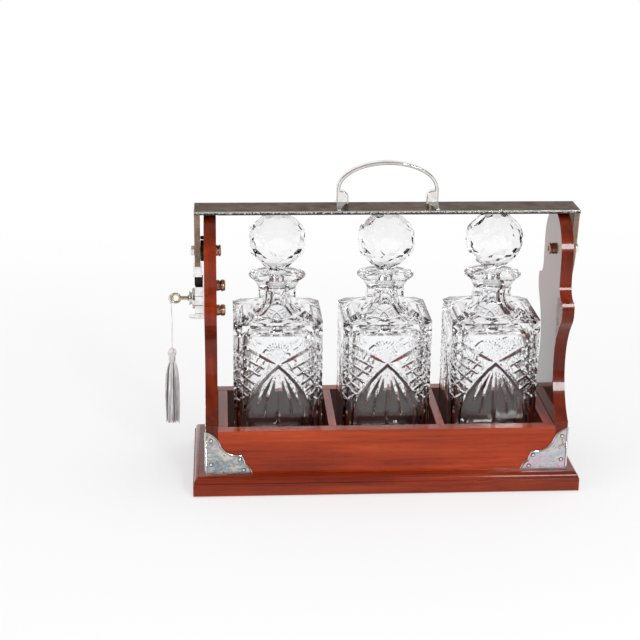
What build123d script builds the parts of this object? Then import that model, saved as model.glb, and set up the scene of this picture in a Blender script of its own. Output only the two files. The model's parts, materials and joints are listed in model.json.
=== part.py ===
"""Three-decanter tantalus: a mahogany stand whose plated bar swings back from over the stoppers.

Millimetres. +X runs to the right of the front, +Y to the back, +Z up. The origin is the centre of
the underside. A moulded plinth carries a tray of three wells between two shaped end panels. A plated
bar with a carrying handle lies over the stoppers on two arms, which turn on bolts through the heads
of the panels. The left arm ends in a socket over a lock on the panel's outer face. Turning the key
lifts a bolt into that socket. At rest the bolt is down, so the bar is free to swing back.
"""

from build123d import *
from math import cos, pi, radians, sin, sqrt, tan
import os

# ---------------------------------------------------------------- driving dimensions
# stand
baize_thick = 1.0
baize_margin = 7.0  # from the plinth's edge in to the baize
plinth_end_ledge = 13.0  # from the end panels out to the plinth's edge
plinth_front_ledge = 11.0  # from the tray's front out to the plinth's edge
plinth_thick = 19.0
plinth_band = 12.5  # height of the plain band below the moulding
plinth_quirk = 1.2  # small step in from the band to the moulding
plinth_ovolo = 5.0  # radius of the rounded top edge
band_round = 1.0  # on the upright corners of the band

panel_thick = 12.0
rail_thick = 12.0
divider_thick = 8.0
end_board_thick = 10.0
decanter_play = 6.0  # round each decanter in its well
tray_height = 45.5
fit = 0.05  # radial clearance of pins, screws and studs in their holes
board_screw_head = 8.0
board_screw_shank = 4.0
board_screw_length = 38.0

# outline of the end panels: half widths and radii about the middle
foot_rise = 6.5  # how far the square foot of a panel stands above the rails
foot_step = 1.8  # ledge on top of the foot, where the shaped part begins
ear_inset = 4.0  # from the tray's front in to the ear
waist_depth = 25.0  # from the ear in to the waist
waist_radius = 64.0
ear_radius = 20.0
ear_lip = 8.5  # from the widest point of the ear up to its ledge
neck_cove = 15.5  # radius of the hollow between the ledge and the neck
head_radius = 39.2  # round the pivot
neck_inset = 0.2  # from the head's widest point in to the straight neck

# corner mounts
mount_leg = 46.0
mount_height = 45.2
mount_thick = 0.8
pin_head = 3.2
pin_rise = 0.9
pin_shank = 1.6
pin_length = 6.0

# swinging bar and its arms
stopper_gap = 1.8  # from a stopper up to the bar's lining
bar_gap = 1.3  # from the panel's head up to the bar
bar_thick = 3.5
bar_depth = 36.0
bar_edge = 0.5  # bevel round the bar's top
lining_thick = 0.8
lining_margin = 2.0
arm_thick = 5.5
arm_gap = 3.8  # from the end panel out to the arm
arm_top_half = 16.2
arm_low_half = 9.2  # half width where the taper ends and the point begins
arm_low_drop = 8.0  # how far that place lies below the pivot
arm_reach = 29.0  # from the pivot to the right arm's point
arm_cheek = (0.56, 0.53)  # swell of the point, as shares of its half width and its length
arm_edge = 0.8  # bevel on the arm's outer edges
rivet_diameter = 3.0
rivet_length = 10.0
rivet_inset = 9.0  # from the bar's middle line
pivot_shank = 6.0
pivot_play = 0.06
pivot_head_flats = 9.0
pivot_head_thick = 3.6
pivot_head_bevel = 0.75
pivot_head_gap = 0.2
pivot_end_inset = 1.0  # from the nut's face in to the bolt's end
washer_diameter = 21.0
washer_edge = 0.6
washer_gap = 0.3
stud_head_diameter = 3.6
stud_head_rise = 13.2  # from the pivot up to the spacer stud
spacer_shank = 2.0
spacer_length = 9.0
nut_diameter = 11.6
nut_flange = 0.3  # shares of the nut's thickness: top of its flange, its groove and its ring
nut_groove = 0.42
nut_ring = 0.78
nut_waist = 0.8  # shares of the nut's radius: at the groove, the flange, the shoulder and the crown
nut_seat = 0.96
nut_shoulder = 0.86
nut_crown = 0.55
pivot_nut_thick = 4.8
lock_nut_thick = 8.6
blind_end = 1.4  # metal left over a bore that doesn't go through

# carrying handle
handle_span = 100.0
handle_rise = 45.7  # from the bar's top to the top of the handle
handle_spring = 18.0  # height at which the legs run into the arch
handle_thick = 3.3
handle_depth = 9.0
handle_foot_length = 11.4
handle_foot_height = 16.5
handle_foot_round = 6.0  # on the foot's inner top edge
spur_inset = 1.0  # from the bar's front and back edges in to the spurs of the feet
spur_width = 3.5
spur_tip = 1.2  # thickness of a spur at its end, and where it leaves the foot
spur_root = 5.5
handle_screw = 4.0
handle_screw_head = 7.4
handle_screw_grip = 7.0
handle_edge = 0.7

# lock on the left end panel
key_drop = 49.0  # from the pivot down to the key
lock_half = 11.0  # half width of the case, front to back
lock_case_below = 18.6  # from the key down to the case's foot
lock_case_above = 14.6  # from the key up to its top
lock_case_depth = 8.0
lock_wall = 1.6
lock_edge = 0.8
lock_boss_diameter = 21.4
lock_boss_rise = 2.8
backplate_thick = 1.5
foot_plate_thick = 1.5
foot_plate_reach = 16.0
foot_plate_half = 6.0
foot_plate_corner = 3.0
guide_height = 7.4
guide_half = 6.0
guide_wall = 3.0  # thickness of the guide outside the bolt
guide_edge = 1.0
lock_stud_diameter = 5.0
lock_stud_inset = 2.0  # from the nut's face in to the stud's end
lock_stud_offset = 12.9  # above and below the key

# plug, crank and bolt
plug_diameter = 12.0
plug_play = 0.06
plug_stand_off = 1.9  # from the boss out to the flange
plug_flange_diameter = 14.7
plug_flange_thick = 1.2
crank_diameter = 15.0
crank_thick = 1.0
crank_throw = 5.0
crank_pin = 2.4
crank_turn = 90.0  # degrees of key from open to locked
running_gap = 0.2  # between the flat faces of moving pieces
bolt_half = 4.0
bolt_play = 0.2
yoke_play = 0.25  # above and below the crank pin, for its arc
yoke_wall = 1.6
striker_gap = 0.8  # from the guide's top to the striker
striker_length = 11.6
striker_half = 7.0
striker_proud = 1.5  # how far the striker stands out from the arm, on both faces
socket_play = 0.2
tenon_length = 3.5
tenon_thick = 2.5
tenon_half = 4.0

# key and tassel
key_shank = 3.9
key_play = 0.1
key_depth = 8.0  # length inside the plug
key_collar_diameter = 6.0
key_collar_thick = 1.2
bow_radius = 4.4  # to the middle of the ring's wire
bow_wire = 2.6
bow_reach = 13.55  # from the plug's flange out to the middle of the bow
bit_length = 4.0
bit_drop = 4.4  # from the key's axis
bit_thick = 1.6
cord_diameter = 1.0
loop_half_width = 2.2
loop_half_length = 4.0
knot_diameter = 2.4
knot_gap = 0.15
cord_length = 47.0
tassel_head_diameter = 9.4
tassel_head_height = 9.5
knob_shoulder = 0.86  # half way round the knob, as a share of its radius
knob_rise = 0.2  # height of that place, as a share of the knob's
tassel_neck_diameter = 6.6
tassel_neck_height = 4.5
tassel_bindings = 3
skirt_length = 66.0
skirt_diameter = 15.6
skirt_folds = 11
fold_depth = 0.12  # share of the skirt's radius

# decanters and stoppers
decanter_side = 88.0
decanter_chamfer = 8.6
decanter_body = 149.0  # height up to the shoulder's edge
decanter_foot = 1.5  # bevel round the base
shoulder_rise = 14.5
shoulder_steps = 4
shoulder_hollow = 1.9  # power of the shoulder's curve, 1 would be straight
neck_width = 38.0  # across the flats of the eight-sided neck
neck_length = 12.5
lip_diameter = 56.6
lip_flare = 11.2  # height of the cone below the lip
lip_rim = 1.8
lip_ease = 0.6  # on both edges of the rim
lip_crown = 1.2  # rise of the lip's top from its rim to the mouth
mouth_land = 2.5  # width of the flat ring round the mouth
cut_eye = 108.0  # height above the base of the point that a face's cuts start from
cut_approach = 0.3  # how far outside the glass the wheel starts
mitre_end = (35.5, 23.5)  # across and up from the eye
mitre_half = 3.2
mitre_depth = 1.5
arch_shoulder = (19.0, -20.0)  # places that the pointed arch runs through
arch_spring = (31.5, -58.0)
arch_foot = 12.0  # length of its straight foot
arch_half = 2.1
arch_depth = 1.25
blade_root = 4.5  # from the eye down to the blades
blade_half = 2.7
blade_depth = 1.25
blades = [(0.0, 66.0), (15.5, 47.0), (35.0, 36.0)]  # degrees off the upright, and length
base_thick = 11.0
wall_thick = 7.5
cavity_corner = 14.0
cavity_crown = 12.0  # radius round the top of the cavity
cavity_below_edge = 9.0  # from the shoulder's edge down to the cavity's top
funnel_depth = 6.0  # how far the funnel starts below the cavity's top
funnel_rise = 10.0  # from the cavity's top up to the funnel's shoulder
funnel_flare = 6.0  # width of that shoulder outside the bore
funnel_inset = 2.0  # from the cavity's rounded top in to the funnel
funnel_neck = 2.0  # from the neck's foot up to where the bore begins
ball_diameter = 56.0
ball_flat = 0.8  # how far the facets lie inside the ball
ball_ring = 8  # facets in each ring
ball_drop = 0.6  # top facet below the ball's crown
ball_low_facets = 45.0  # degrees below level, of the lower ring of facets
ball_high_facets = 45.0
ball_seat_half = 9.7  # half width of the ball's flat underside
stopper_stand = 5.74  # from the lip's rim up to the ball's foot
stem_diameter = 17.4
plug_foot_diameter = 15.0
plug_length = 19.0
plug_ease = 1.0  # bevel round the plug's foot
stopper_play = 0.1

quarter_turn = 90.0  # degrees

# ---------------------------------------------------------------- derived places
plinth_top = baize_thick + plinth_thick
tray_top = plinth_top + tray_height
well_half = decanter_side / 2 + decanter_play
divider_x = well_half + divider_thick / 2
well_pitch = 2 * well_half + divider_thick
board_in = well_pitch + well_half  # inner face of the end boards
panel_in = board_in + end_board_thick
panel_out = panel_in + panel_thick
tray_half = well_half + rail_thick
plinth_half_x = panel_out + plinth_end_ledge
plinth_half_y = tray_half + plinth_front_ledge

shoulder_low = plinth_top + decanter_body
neck_low = shoulder_low + shoulder_rise
lip_low = neck_low + neck_length
rim_top = lip_low + lip_flare + lip_rim
mouth_top = rim_top + lip_crown
ball_foot = rim_top + stopper_stand
facet_distance = ball_diameter / 2 - ball_flat
low_facet = radians(ball_low_facets)
ball_middle = ball_foot + (facet_distance - ball_seat_half * cos(low_facet)) / sin(low_facet)
stopper_top = ball_middle + ball_diameter / 2 - ball_drop
plug_end = mouth_top - plug_length
cavity_low = plinth_top + base_thick
cavity_top = shoulder_low - cavity_below_edge

bar_low = stopper_top + stopper_gap + lining_thick
bar_top = bar_low + bar_thick
pivot_height = bar_low - bar_gap - head_radius
key_height = pivot_height - key_drop
arm_in = panel_out + arm_gap
arm_out = arm_in + arm_thick

case_low = key_height - lock_case_below
case_top = key_height + lock_case_above
backplate_out = panel_out + backplate_thick
case_out = backplate_out + lock_case_depth
boss_out = case_out + lock_boss_rise
flange_out = boss_out + plug_stand_off + plug_flange_thick
crank_out = case_out - lock_wall - running_gap
bolt_out = crank_out - crank_thick - running_gap
bolt_in = backplate_out + running_gap
guide_top = case_top + guide_height
crank_rest = -radians(crank_turn) / 2  # angle of the crank pin at rest, from the back upward
bolt_travel = 2 * crank_throw * sin(-crank_rest)
striker_radius = pivot_height - guide_top - striker_gap
striker_top = pivot_height - striker_radius + striker_length

bow_x = -(flange_out + bow_reach)
ring_x = bow_x - bow_radius  # the ring's wire where it crosses the key's axis
knot_y = -loop_half_length * sqrt(0.5)
knot_z = key_height + knot_y - knot_diameter / 4
cord_top = knot_z - knot_diameter / 2 - knot_gap
tassel_top = cord_top - cord_length
skirt_top = tassel_top - tassel_head_height - tassel_neck_height


# ---------------------------------------------------------------- small helpers
def block(x0, x1, y0, y1, z0, z1):
    """A box between two corners."""
    middle = ((x0 + x1) / 2, (y0 + y1) / 2, (z0 + z1) / 2)
    return Pos(*middle) * Box(abs(x1 - x0), abs(y1 - y0), abs(z1 - z0))


def rod_x(x0, x1, diameter, y=0.0, z=0.0):
    """A round bar along X between two ends."""
    return Pos((x0 + x1) / 2, y, z) * Rot(0, 90, 0) * Cylinder(diameter / 2, abs(x1 - x0))


def rod_z(z0, z1, diameter, x=0.0, y=0.0):
    """A round bar along Z between two ends."""
    return Pos(x, y, (z0 + z1) / 2) * Cylinder(diameter / 2, abs(z1 - z0))


def turned(points):
    """A solid of revolution about Z from (radius, height) points."""
    with BuildPart() as made:
        with BuildSketch(Plane.XZ):
            with BuildLine():
                Polyline(*points, close=True)
            make_face()
        revolve(axis=Axis.Z)
    return made.part


def other_end(shape):
    """The same piece at the other end of the stand."""
    return mirror(shape, about=Plane.YZ)


def group(solids):
    """Separate solids kept together as one piece."""
    return Compound(children=list(solids))


# ---------------------------------------------------------------- stand
def make_plinth():
    """Base board with a plain band, a quirk and a rounded moulding round its top edge."""
    band_top = baize_thick + plinth_band
    band = block(-plinth_half_x, plinth_half_x, -plinth_half_y, plinth_half_y, baize_thick, band_top)
    band = fillet(band.edges().filter_by(Axis.Z), band_round)
    top_x = plinth_half_x - plinth_quirk
    top_y = plinth_half_y - plinth_quirk
    moulding = block(-top_x, top_x, -top_y, top_y, band_top, plinth_top)
    moulding = fillet(moulding.faces().sort_by(Axis.Z)[-1].edges(), plinth_ovolo)
    plinth = band + moulding
    for place in board_screw_places():
        plinth -= place * board_screw(fit)
    return plinth


def make_baize():
    """Thin cloth glued under the plinth."""
    half_x = plinth_half_x - baize_margin
    half_y = plinth_half_y - baize_margin
    return block(-half_x, half_x, -half_y, half_y, 0, baize_thick)


def board_screw(play=0.0):
    """Countersunk wood screw up through the plinth into a board of the tray."""
    head = board_screw_head / 2 + play
    shank = board_screw_shank / 2 + play
    low = baize_thick
    high = baize_thick + board_screw_length + play
    return turned([(0, low), (head, low), (shank, low + head - shank), (shank, high), (0, high)])


def board_screw_places():
    y = well_half + rail_thick / 2
    return [Pos(x, side * y, 0) for x in (-well_pitch, 0, well_pitch) for side in (-1, 1)]


def make_rail(side):
    """Front (side -1) or back (side 1) board of the tray, between the end panels."""
    rail = block(-panel_in, panel_in, side * well_half, side * tray_half, plinth_top, tray_top)
    for place in board_screw_places():
        if place.position.Y * side > 0:
            rail -= place * board_screw(fit)
    return rail


def make_cross_board(middle, thick):
    """A board across the tray, from the front rail to the back rail."""
    half = thick / 2
    return block(middle - half, middle + half, -well_half, well_half, plinth_top, tray_top)


def panel_outline():
    """Front half of an end panel's outline, in the YZ plane."""
    ledge_z = tray_top + foot_rise
    ledge_y = tray_half - foot_step
    ear_half = tray_half - ear_inset
    waist_half = ear_half - waist_depth
    waist_y = waist_half + waist_radius  # centre of the hollow, outside the wood
    waist_z = ledge_z + sqrt(waist_radius**2 - (waist_y - ledge_y) ** 2)
    ear_y = ear_half - ear_radius
    reach = waist_radius + ear_radius
    ear_z = waist_z + sqrt(reach**2 - (waist_y - ear_y) ** 2)
    share = waist_radius / reach
    meet = (-(waist_y + (ear_y - waist_y) * share), waist_z + (ear_z - waist_z) * share)
    lip_z = ear_z + ear_lip
    lip_y = ear_y + sqrt(ear_radius**2 - ear_lip**2)
    neck_half = head_radius - neck_inset
    hollow_y = neck_half + neck_cove
    hollow_z = lip_z + neck_cove
    eased = neck_cove * sqrt(0.5)
    head_z = pivot_height + sqrt(head_radius**2 - neck_half**2)
    crown = head_radius * sqrt(0.5)
    with BuildSketch(Plane.YZ) as sketch:
        with BuildLine():
            Polyline((0, plinth_top), (-tray_half, plinth_top), (-tray_half, ledge_z), (-ledge_y, ledge_z))
            ThreePointArc((-ledge_y, ledge_z), (-waist_half, waist_z), meet)
            ThreePointArc(meet, (-ear_half, ear_z), (-lip_y, lip_z))
            Line((-lip_y, lip_z), (-hollow_y, lip_z))
            ThreePointArc(
                (-hollow_y, lip_z), (-hollow_y + eased, hollow_z - eased), (-neck_half, hollow_z)
            )
            Line((-neck_half, hollow_z), (-neck_half, head_z))
            ThreePointArc(
                (-neck_half, head_z), (-crown, pivot_height + crown), (0, pivot_height + head_radius)
            )
            Line((0, pivot_height + head_radius), (0, plinth_top))
        make_face()
    return sketch.sketch


def make_left_panel():
    """Left end panel with the holes for the pivot bolt, the spacer stud and the lock's studs."""
    half = extrude(Pos(-panel_out, 0, 0) * panel_outline(), panel_thick, dir=(1, 0, 0))
    panel = half + mirror(half, about=Plane.XZ)
    panel -= pivot_hole()
    for z in lock_stud_heights():
        panel -= rod_x(-panel_out, -panel_in, lock_stud_diameter + 2 * fit, z=z)
    return panel


def make_right_panel():
    half = extrude(Pos(panel_in, 0, 0) * panel_outline(), panel_thick, dir=(1, 0, 0))
    panel = half + mirror(half, about=Plane.XZ)
    return panel - other_end(pivot_hole())


def pivot_hole():
    """Holes through the left panel for the pivot bolt and for the spacer stud above it."""
    bolt = rod_x(-panel_out, -panel_in, pivot_shank + 2 * fit, z=pivot_height)
    deep = -panel_out - stud_head_length() + spacer_length
    stud_z = pivot_height + stud_head_rise
    return bolt + rod_x(-panel_out, deep + fit, spacer_shank + 2 * fit, z=stud_z)


# ---------------------------------------------------------------- corner mounts
def scroll_outline():
    """Scalloped outline of one leg of a corner mount, its corner at the origin."""
    w = mount_leg
    h = mount_height
    with BuildSketch() as sketch:
        with BuildLine():
            Polyline((0, h), (0, 0), (w, 0))
            ThreePointArc((w, 0), (0.95 * w, 0.14 * h), (0.845 * w, 0.235 * h))
            ThreePointArc((0.845 * w, 0.235 * h), (0.815 * w, 0.35 * h), (0.76 * w, 0.455 * h))
            Line((0.76 * w, 0.455 * h), (0.68 * w, 0.455 * h))
            ThreePointArc((0.68 * w, 0.455 * h), (0.42 * w, 0.545 * h), (0.315 * w, 0.69 * h))
            ThreePointArc((0.315 * w, 0.69 * h), (0.215 * w, 0.87 * h), (0, h))
        make_face()
    return sketch.sketch


pin_shares = [(0.11, 0.8), (0.105, 0.24), (0.725, 0.355), (0.81, 0.1)]  # of the leg and the height


def leg_planes():
    """Planes of the two legs at the front left corner, each with its outward normal."""
    corner = (-panel_out, -tray_half, plinth_top)
    front = Plane(origin=corner, x_dir=(1, 0, 0), z_dir=(0, -1, 0))
    side = Plane(origin=corner, x_dir=(0, -1, 0), z_dir=(-1, 0, 0))
    return front, side


def leg_solid(shape_on_plane):
    """A shape drawn on both legs; the side leg's is turned over so that it runs to the back."""
    front, side = leg_planes()
    return front * shape_on_plane, side * mirror(shape_on_plane, about=Plane.YZ)


def make_mount():
    """Plated corner: two scalloped legs bent round the front left corner, bored for their pins."""
    leg = extrude(scroll_outline(), mount_thick)
    for share_x, share_z in pin_shares:
        x = share_x * mount_leg
        z = share_z * mount_height
        leg -= rod_z(0, mount_thick, pin_shank, x, z)
    front, side = leg_solid(leg)
    post_x = -panel_out - mount_thick
    post_y = -tray_half - mount_thick
    post = block(post_x, -panel_out, post_y, -tray_half, plinth_top, plinth_top + mount_height)
    post = fillet(post.edges().filter_by(Axis.Z).sort_by(Axis.X)[:2].sort_by(Axis.Y)[0], mount_thick / 2)
    return front + side + post


def make_pins():
    """Round-headed pins of one corner mount, as separate solids."""
    head = rod_z(mount_thick, mount_thick + pin_rise, pin_head)
    head = fillet(head.edges().filter_by(GeomType.CIRCLE).sort_by(Axis.Z)[-1], pin_rise * 0.8)
    pin = head + rod_z(-pin_length, mount_thick, pin_shank)
    pins = []
    for share_x, share_z in pin_shares:
        pins += leg_solid(Pos(share_x * mount_leg, share_z * mount_height, 0) * pin)
    return pins


def to_corner(shape, right, back):
    """Carry a piece from the front left corner to another corner of the tray."""
    if right:
        shape = mirror(shape, about=Plane.YZ)
    if back:
        shape = mirror(shape, about=Plane.XZ)
    return shape


def bored_for_pins(board):
    """A board of the tray with the holes of every corner's pins."""
    holes = []
    for share_x, share_z in pin_shares:
        hole = rod_z(-pin_length - fit, 0, pin_shank + 2 * fit, share_x * mount_leg, share_z * mount_height)
        holes += leg_solid(hole)
    for right in (False, True):
        for back in (False, True):
            for hole in holes:
                board -= to_corner(hole, right, back)
    return board


# ---------------------------------------------------------------- bar, arms and pivots
def rivet_places():
    x = (arm_in + arm_out) / 2
    return [(sx * x, sy * rivet_inset) for sx in (-1, 1) for sy in (-1, 1)]


def handle_screw_places():
    x = (handle_span - handle_foot_length) / 2
    return [-x, x]


def make_bar():
    """Plated bar over the stoppers, bevelled round its top and bored for its rivets and screws."""
    half = bar_depth / 2
    bar = block(-arm_out, arm_out, -half, half, bar_low, bar_top)
    bar = chamfer(bar.faces().sort_by(Axis.Z)[-1].edges(), bar_edge)
    for x, y in rivet_places():
        bar -= rod_z(bar_low, bar_top, rivet_diameter + 2 * fit, x, y)
    for x in handle_screw_places():
        bar -= Pos(x, 0, 0) * handle_screw_solid(fit)
    return bar


def make_lining():
    """Cloth strip under the bar, between the panels."""
    half_x = panel_in - lining_margin
    half_y = bar_depth / 2 - lining_margin
    return block(-half_x, half_x, -half_y, half_y, bar_low - lining_thick, bar_low)


def pointed_outline():
    """Outline of the right arm in a YZ plane: a taper from the bar to below the pivot, then a point."""
    low = pivot_height - arm_low_drop
    tip = pivot_height - arm_reach
    cheek = (arm_low_half * arm_cheek[0], low - (low - tip) * arm_cheek[1])
    with BuildSketch(Plane.YZ.offset(arm_in)) as sketch:
        with BuildLine():
            Polyline((0, bar_low), (arm_top_half, bar_low), (arm_low_half, low))
            ThreePointArc((arm_low_half, low), cheek, (0, tip))
            Line((0, tip), (0, bar_low))
        make_face()
        mirror(about=Plane.YZ)
    return sketch.sketch


def square_outline():
    """Outline of the left arm: the same taper, then straight in to the striker's width."""
    low = pivot_height - arm_low_drop
    with BuildSketch(Plane.YZ.offset(arm_in)) as sketch:
        with BuildLine():
            Polyline((0, bar_low), (arm_top_half, bar_low), (arm_low_half, low), (striker_half, striker_top))
            Polyline((striker_half, striker_top), (0, striker_top), (0, bar_low))
        make_face()
        mirror(about=Plane.YZ)
    return sketch.sketch


def arm_from(outline):
    """An arm of the bar at the right end, bevelled outside and bored for its bolt and rivets."""
    arm = extrude(outline, arm_thick, dir=(1, 0, 0))
    arm = chamfer(arm.faces().sort_by(Axis.X)[-1].edges(), arm_edge)
    arm -= rod_x(arm_in, arm_out, pivot_shank + 2 * pivot_play, z=pivot_height)
    for x, y in rivet_places():
        arm -= rod_z(bar_top - rivet_length, bar_low, rivet_diameter + 2 * fit, x, y)
    return arm


def make_left_arm():
    """Left arm: square at its foot, with a tenon that holds the striker."""
    return other_end(arm_from(square_outline())) + tenon(0)


def tenon(play):
    """Tongue below the left arm, or with play the mortise for it."""
    middle = (arm_in + arm_out) / 2
    thick = tenon_thick / 2 + play
    half = tenon_half + play
    low = striker_top - tenon_length - play
    return block(-middle - thick, -middle + thick, -half, half, low, striker_top)


def make_striker():
    """Socket block under the left arm, its foot rounded about the pivot so that it clears the lock.

    The socket is open below and towards the panel, and its three walls hold the raised bolt.
    """
    x0 = -arm_out - striker_proud
    x1 = -arm_in + striker_proud
    body = block(x0, x1, -striker_half, striker_half, pivot_height - striker_radius, striker_top)
    body &= rod_x(x0, x1, 2 * striker_radius, z=pivot_height)
    socket_top = bolt_rest_top() + bolt_travel + socket_play
    half = bolt_half + socket_play
    socket = block(-bolt_out - socket_play, x1, -half, half, guide_top, socket_top)
    return body - socket - tenon(fit)


def make_rivets():
    return [rod_z(bar_top - rivet_length + fit, bar_top, rivet_diameter, x, y) for x, y in rivet_places()]


def make_pivot_bolt():
    """Left pivot bolt: hexagon head outside the arm, shank through the washer, panel and nut."""
    face = arm_out + pivot_head_gap
    head = Pos(-face - pivot_head_thick, 0, pivot_height) * Rot(0, 90, 0)
    hexagon = RegularPolygon(pivot_head_flats / 2, 6, major_radius=False)
    head = extrude(head * hexagon, pivot_head_thick, dir=(1, 0, 0))
    head = chamfer(head.faces().sort_by(Axis.X)[0].edges(), pivot_head_bevel)
    end = -panel_in + pivot_nut_thick - pivot_end_inset
    return head + rod_x(-face, end, pivot_shank, z=pivot_height)


def make_washer():
    """Dark washer between the left panel and the arm."""
    face = arm_in - washer_gap
    disc = rod_x(-face, -panel_out, washer_diameter, z=pivot_height)
    disc = chamfer(disc.edges().filter_by(GeomType.CIRCLE).sort_by(Axis.X)[0], washer_edge)
    return disc - rod_x(-face, -panel_out, pivot_shank + 2 * fit, z=pivot_height)


def stud_head_length():
    return arm_gap - washer_gap


def make_spacer_stud():
    """Domed stud above the washer that keeps the arm off the wood."""
    z = pivot_height + stud_head_rise
    face = -panel_out - stud_head_length()
    head = rod_x(face, -panel_out, stud_head_diameter, z=z)
    head = fillet(head.edges().filter_by(GeomType.CIRCLE).sort_by(Axis.X)[0], stud_head_diameter / 4)
    return head + rod_x(-panel_out, face + spacer_length, spacer_shank, z=z)


def round_nut(thick, shank, through):
    """Brass nut from its seat at height 0 up Z: a flange, a groove and a domed ring."""
    r = nut_diameter / 2
    seat = r * nut_seat
    flange = thick * nut_flange
    groove = thick * nut_groove
    above = 2 * groove - flange
    ring = thick * nut_ring
    dome = (r * nut_shoulder, thick - (thick - ring) / 4)
    crown = r * nut_crown
    with BuildPart() as made:
        with BuildSketch(Plane.XZ):
            with BuildLine():
                Polyline((0, 0), (seat, 0), (seat, flange), (r * nut_waist, groove), (r, above), (r, ring))
                ThreePointArc((r, ring), dome, (crown, thick))
                Polyline((crown, thick), (0, thick), (0, 0))
            make_face()
        revolve(axis=Axis.Z)
    depth = thick if through else thick - blind_end
    return made.part - rod_z(0, depth, shank + 2 * fit)


def make_pivot_nut():
    return Pos(-panel_in, 0, pivot_height) * Rot(0, 90, 0) * round_nut(pivot_nut_thick, pivot_shank, True)


# ---------------------------------------------------------------- carrying handle
def handle_outline():
    """Half of the handle's arch and leg in the XZ plane."""
    out = handle_span / 2
    inner = out - handle_thick
    spring = bar_top + handle_spring
    top = bar_top + handle_rise
    with BuildSketch(Plane.XZ) as sketch:
        with BuildLine():
            Polyline((inner, spring), (inner, bar_top), (out, bar_top), (out, spring))
            EllipticalCenterArc((0, spring), out, top - spring, 0, arc_size=quarter_turn)
            Line((0, top), (0, top - handle_thick))
            EllipticalCenterArc((0, spring), inner, top - spring - handle_thick, 0, arc_size=quarter_turn)
        make_face()
    return sketch.sketch


def front_and_back_edges(shape):
    faces = shape.faces().sort_by(Axis.Y)
    return faces[0].edges() + faces[-1].edges()


def handle_foot():
    """Block foot on the inner side of a leg, rounded over at its top."""
    out = handle_span / 2
    half = handle_depth / 2
    foot = block(out - handle_foot_length, out, -half, half, bar_top, bar_top + handle_foot_height)
    top_edges = foot.faces().sort_by(Axis.Z)[-1].edges().filter_by(Axis.Y)
    foot = fillet(top_edges.sort_by(Axis.X)[0], handle_foot_round)
    return chamfer(front_and_back_edges(foot), handle_edge)


def foot_spurs():
    """Thin spurs that run from a foot to the bar's front and back edges, hollow in plan and height."""
    out = handle_span / 2
    toe = out - handle_foot_length
    tip = out - spur_width
    near = handle_depth / 2
    far = bar_depth / 2 - spur_inset
    eased = 1 - sqrt(0.5)
    in_plan = (tip - (tip - toe) * eased, near + (far - near) * eased)
    root = bar_top + spur_root
    end = bar_top + spur_tip
    in_height = (near + (far - near) * eased, end + (root - end) * eased)
    with BuildSketch(Plane.XY.offset(bar_top)) as plan:
        with BuildLine():
            Polyline((toe, 0), (out, 0), (out, far), (tip, far))
            ThreePointArc((tip, far), in_plan, (toe, near))
            Line((toe, near), (toe, 0))
        make_face()
    with BuildSketch(Plane.YZ.offset(toe)) as section:
        with BuildLine():
            Polyline((far, end), (far, bar_top), (0, bar_top), (0, root), (near, root))
            ThreePointArc((near, root), in_height, (far, end))
        make_face()
    back = extrude(plan.sketch, spur_root) & extrude(section.sketch, handle_foot_length)
    return back + mirror(back, about=Plane.XZ)


def make_handle():
    """Cast handle: an elliptical arch on two legs whose spurred feet are screwed from below."""
    half = extrude(handle_outline(), handle_depth / 2, both=True)
    handle = half + other_end(half)
    handle = chamfer(front_and_back_edges(handle), handle_edge)
    foot = handle_foot() + foot_spurs()
    handle = handle + foot + other_end(foot)
    for x in handle_screw_places():
        handle -= Pos(x, 0, 0) * handle_screw_solid(fit)
    return handle


def handle_screw_solid(play=0.0):
    """Countersunk screw up through the bar into a foot of the handle."""
    head = handle_screw_head / 2 + play
    shank = handle_screw / 2 + play
    top = bar_top + handle_screw_grip + play
    return turned([(0, bar_low), (head, bar_low), (shank, bar_low + head - shank), (shank, top), (0, top)])


# ---------------------------------------------------------------- lock
def lock_stud_heights():
    return [key_height - lock_stud_offset, key_height + lock_stud_offset]


def bolt_rest_top():
    return guide_top - bolt_play


def make_backplate():
    plate = block(-backplate_out, -panel_out, -lock_half, lock_half, case_low, guide_top)
    for z in lock_stud_heights():
        plate -= rod_x(-backplate_out, -panel_out, lock_stud_diameter + 2 * fit, z=z)
    return plate


def bolt_slot(z0, z1):
    """Way for the bolt through the case's top and the guide, along the backplate."""
    half = bolt_half + bolt_play
    return block(-bolt_out - bolt_play, -backplate_out, -half, half, z0, z1)


def make_case():
    """Lock case: a box open to the backplate, with a round boss for the plug."""
    case = block(-case_out, -backplate_out, -lock_half, lock_half, case_low, case_top)
    case = fillet(case.faces().sort_by(Axis.X)[0].edges(), lock_edge)
    boss = rod_x(-boss_out, -case_out, lock_boss_diameter, z=key_height)
    boss = fillet(boss.edges().filter_by(GeomType.CIRCLE).sort_by(Axis.X)[0], lock_edge)
    inner = lock_half - lock_wall
    hollow = block(
        -case_out + lock_wall, -backplate_out, -inner, inner, case_low + lock_wall, case_top - lock_wall
    )
    case = case + boss - hollow
    case -= rod_x(-boss_out, -case_out + lock_wall, plug_diameter + 2 * plug_play, z=key_height)
    return case - bolt_slot(case_top - lock_wall, case_top)


def make_guide():
    """Block on top of the case that the bolt runs through."""
    out = bolt_out + bolt_play + guide_wall
    guide = block(-out, -backplate_out, -guide_half, guide_half, case_top, guide_top)
    guide = chamfer(guide.faces().sort_by(Axis.X)[0].edges().filter_by(Axis.Z), guide_edge)
    return guide - bolt_slot(case_top, guide_top)


def make_foot_plate():
    out = panel_out + foot_plate_reach
    low = case_low - foot_plate_thick
    plate = block(-out, -panel_out, -foot_plate_half, foot_plate_half, low, case_low)
    return fillet(plate.edges().filter_by(Axis.Z).sort_by(Axis.X)[:2], foot_plate_corner)


def make_lock_studs():
    end = -panel_in + lock_nut_thick - lock_stud_inset
    return [rod_x(-backplate_out, end, lock_stud_diameter, z=z) for z in lock_stud_heights()]


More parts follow.
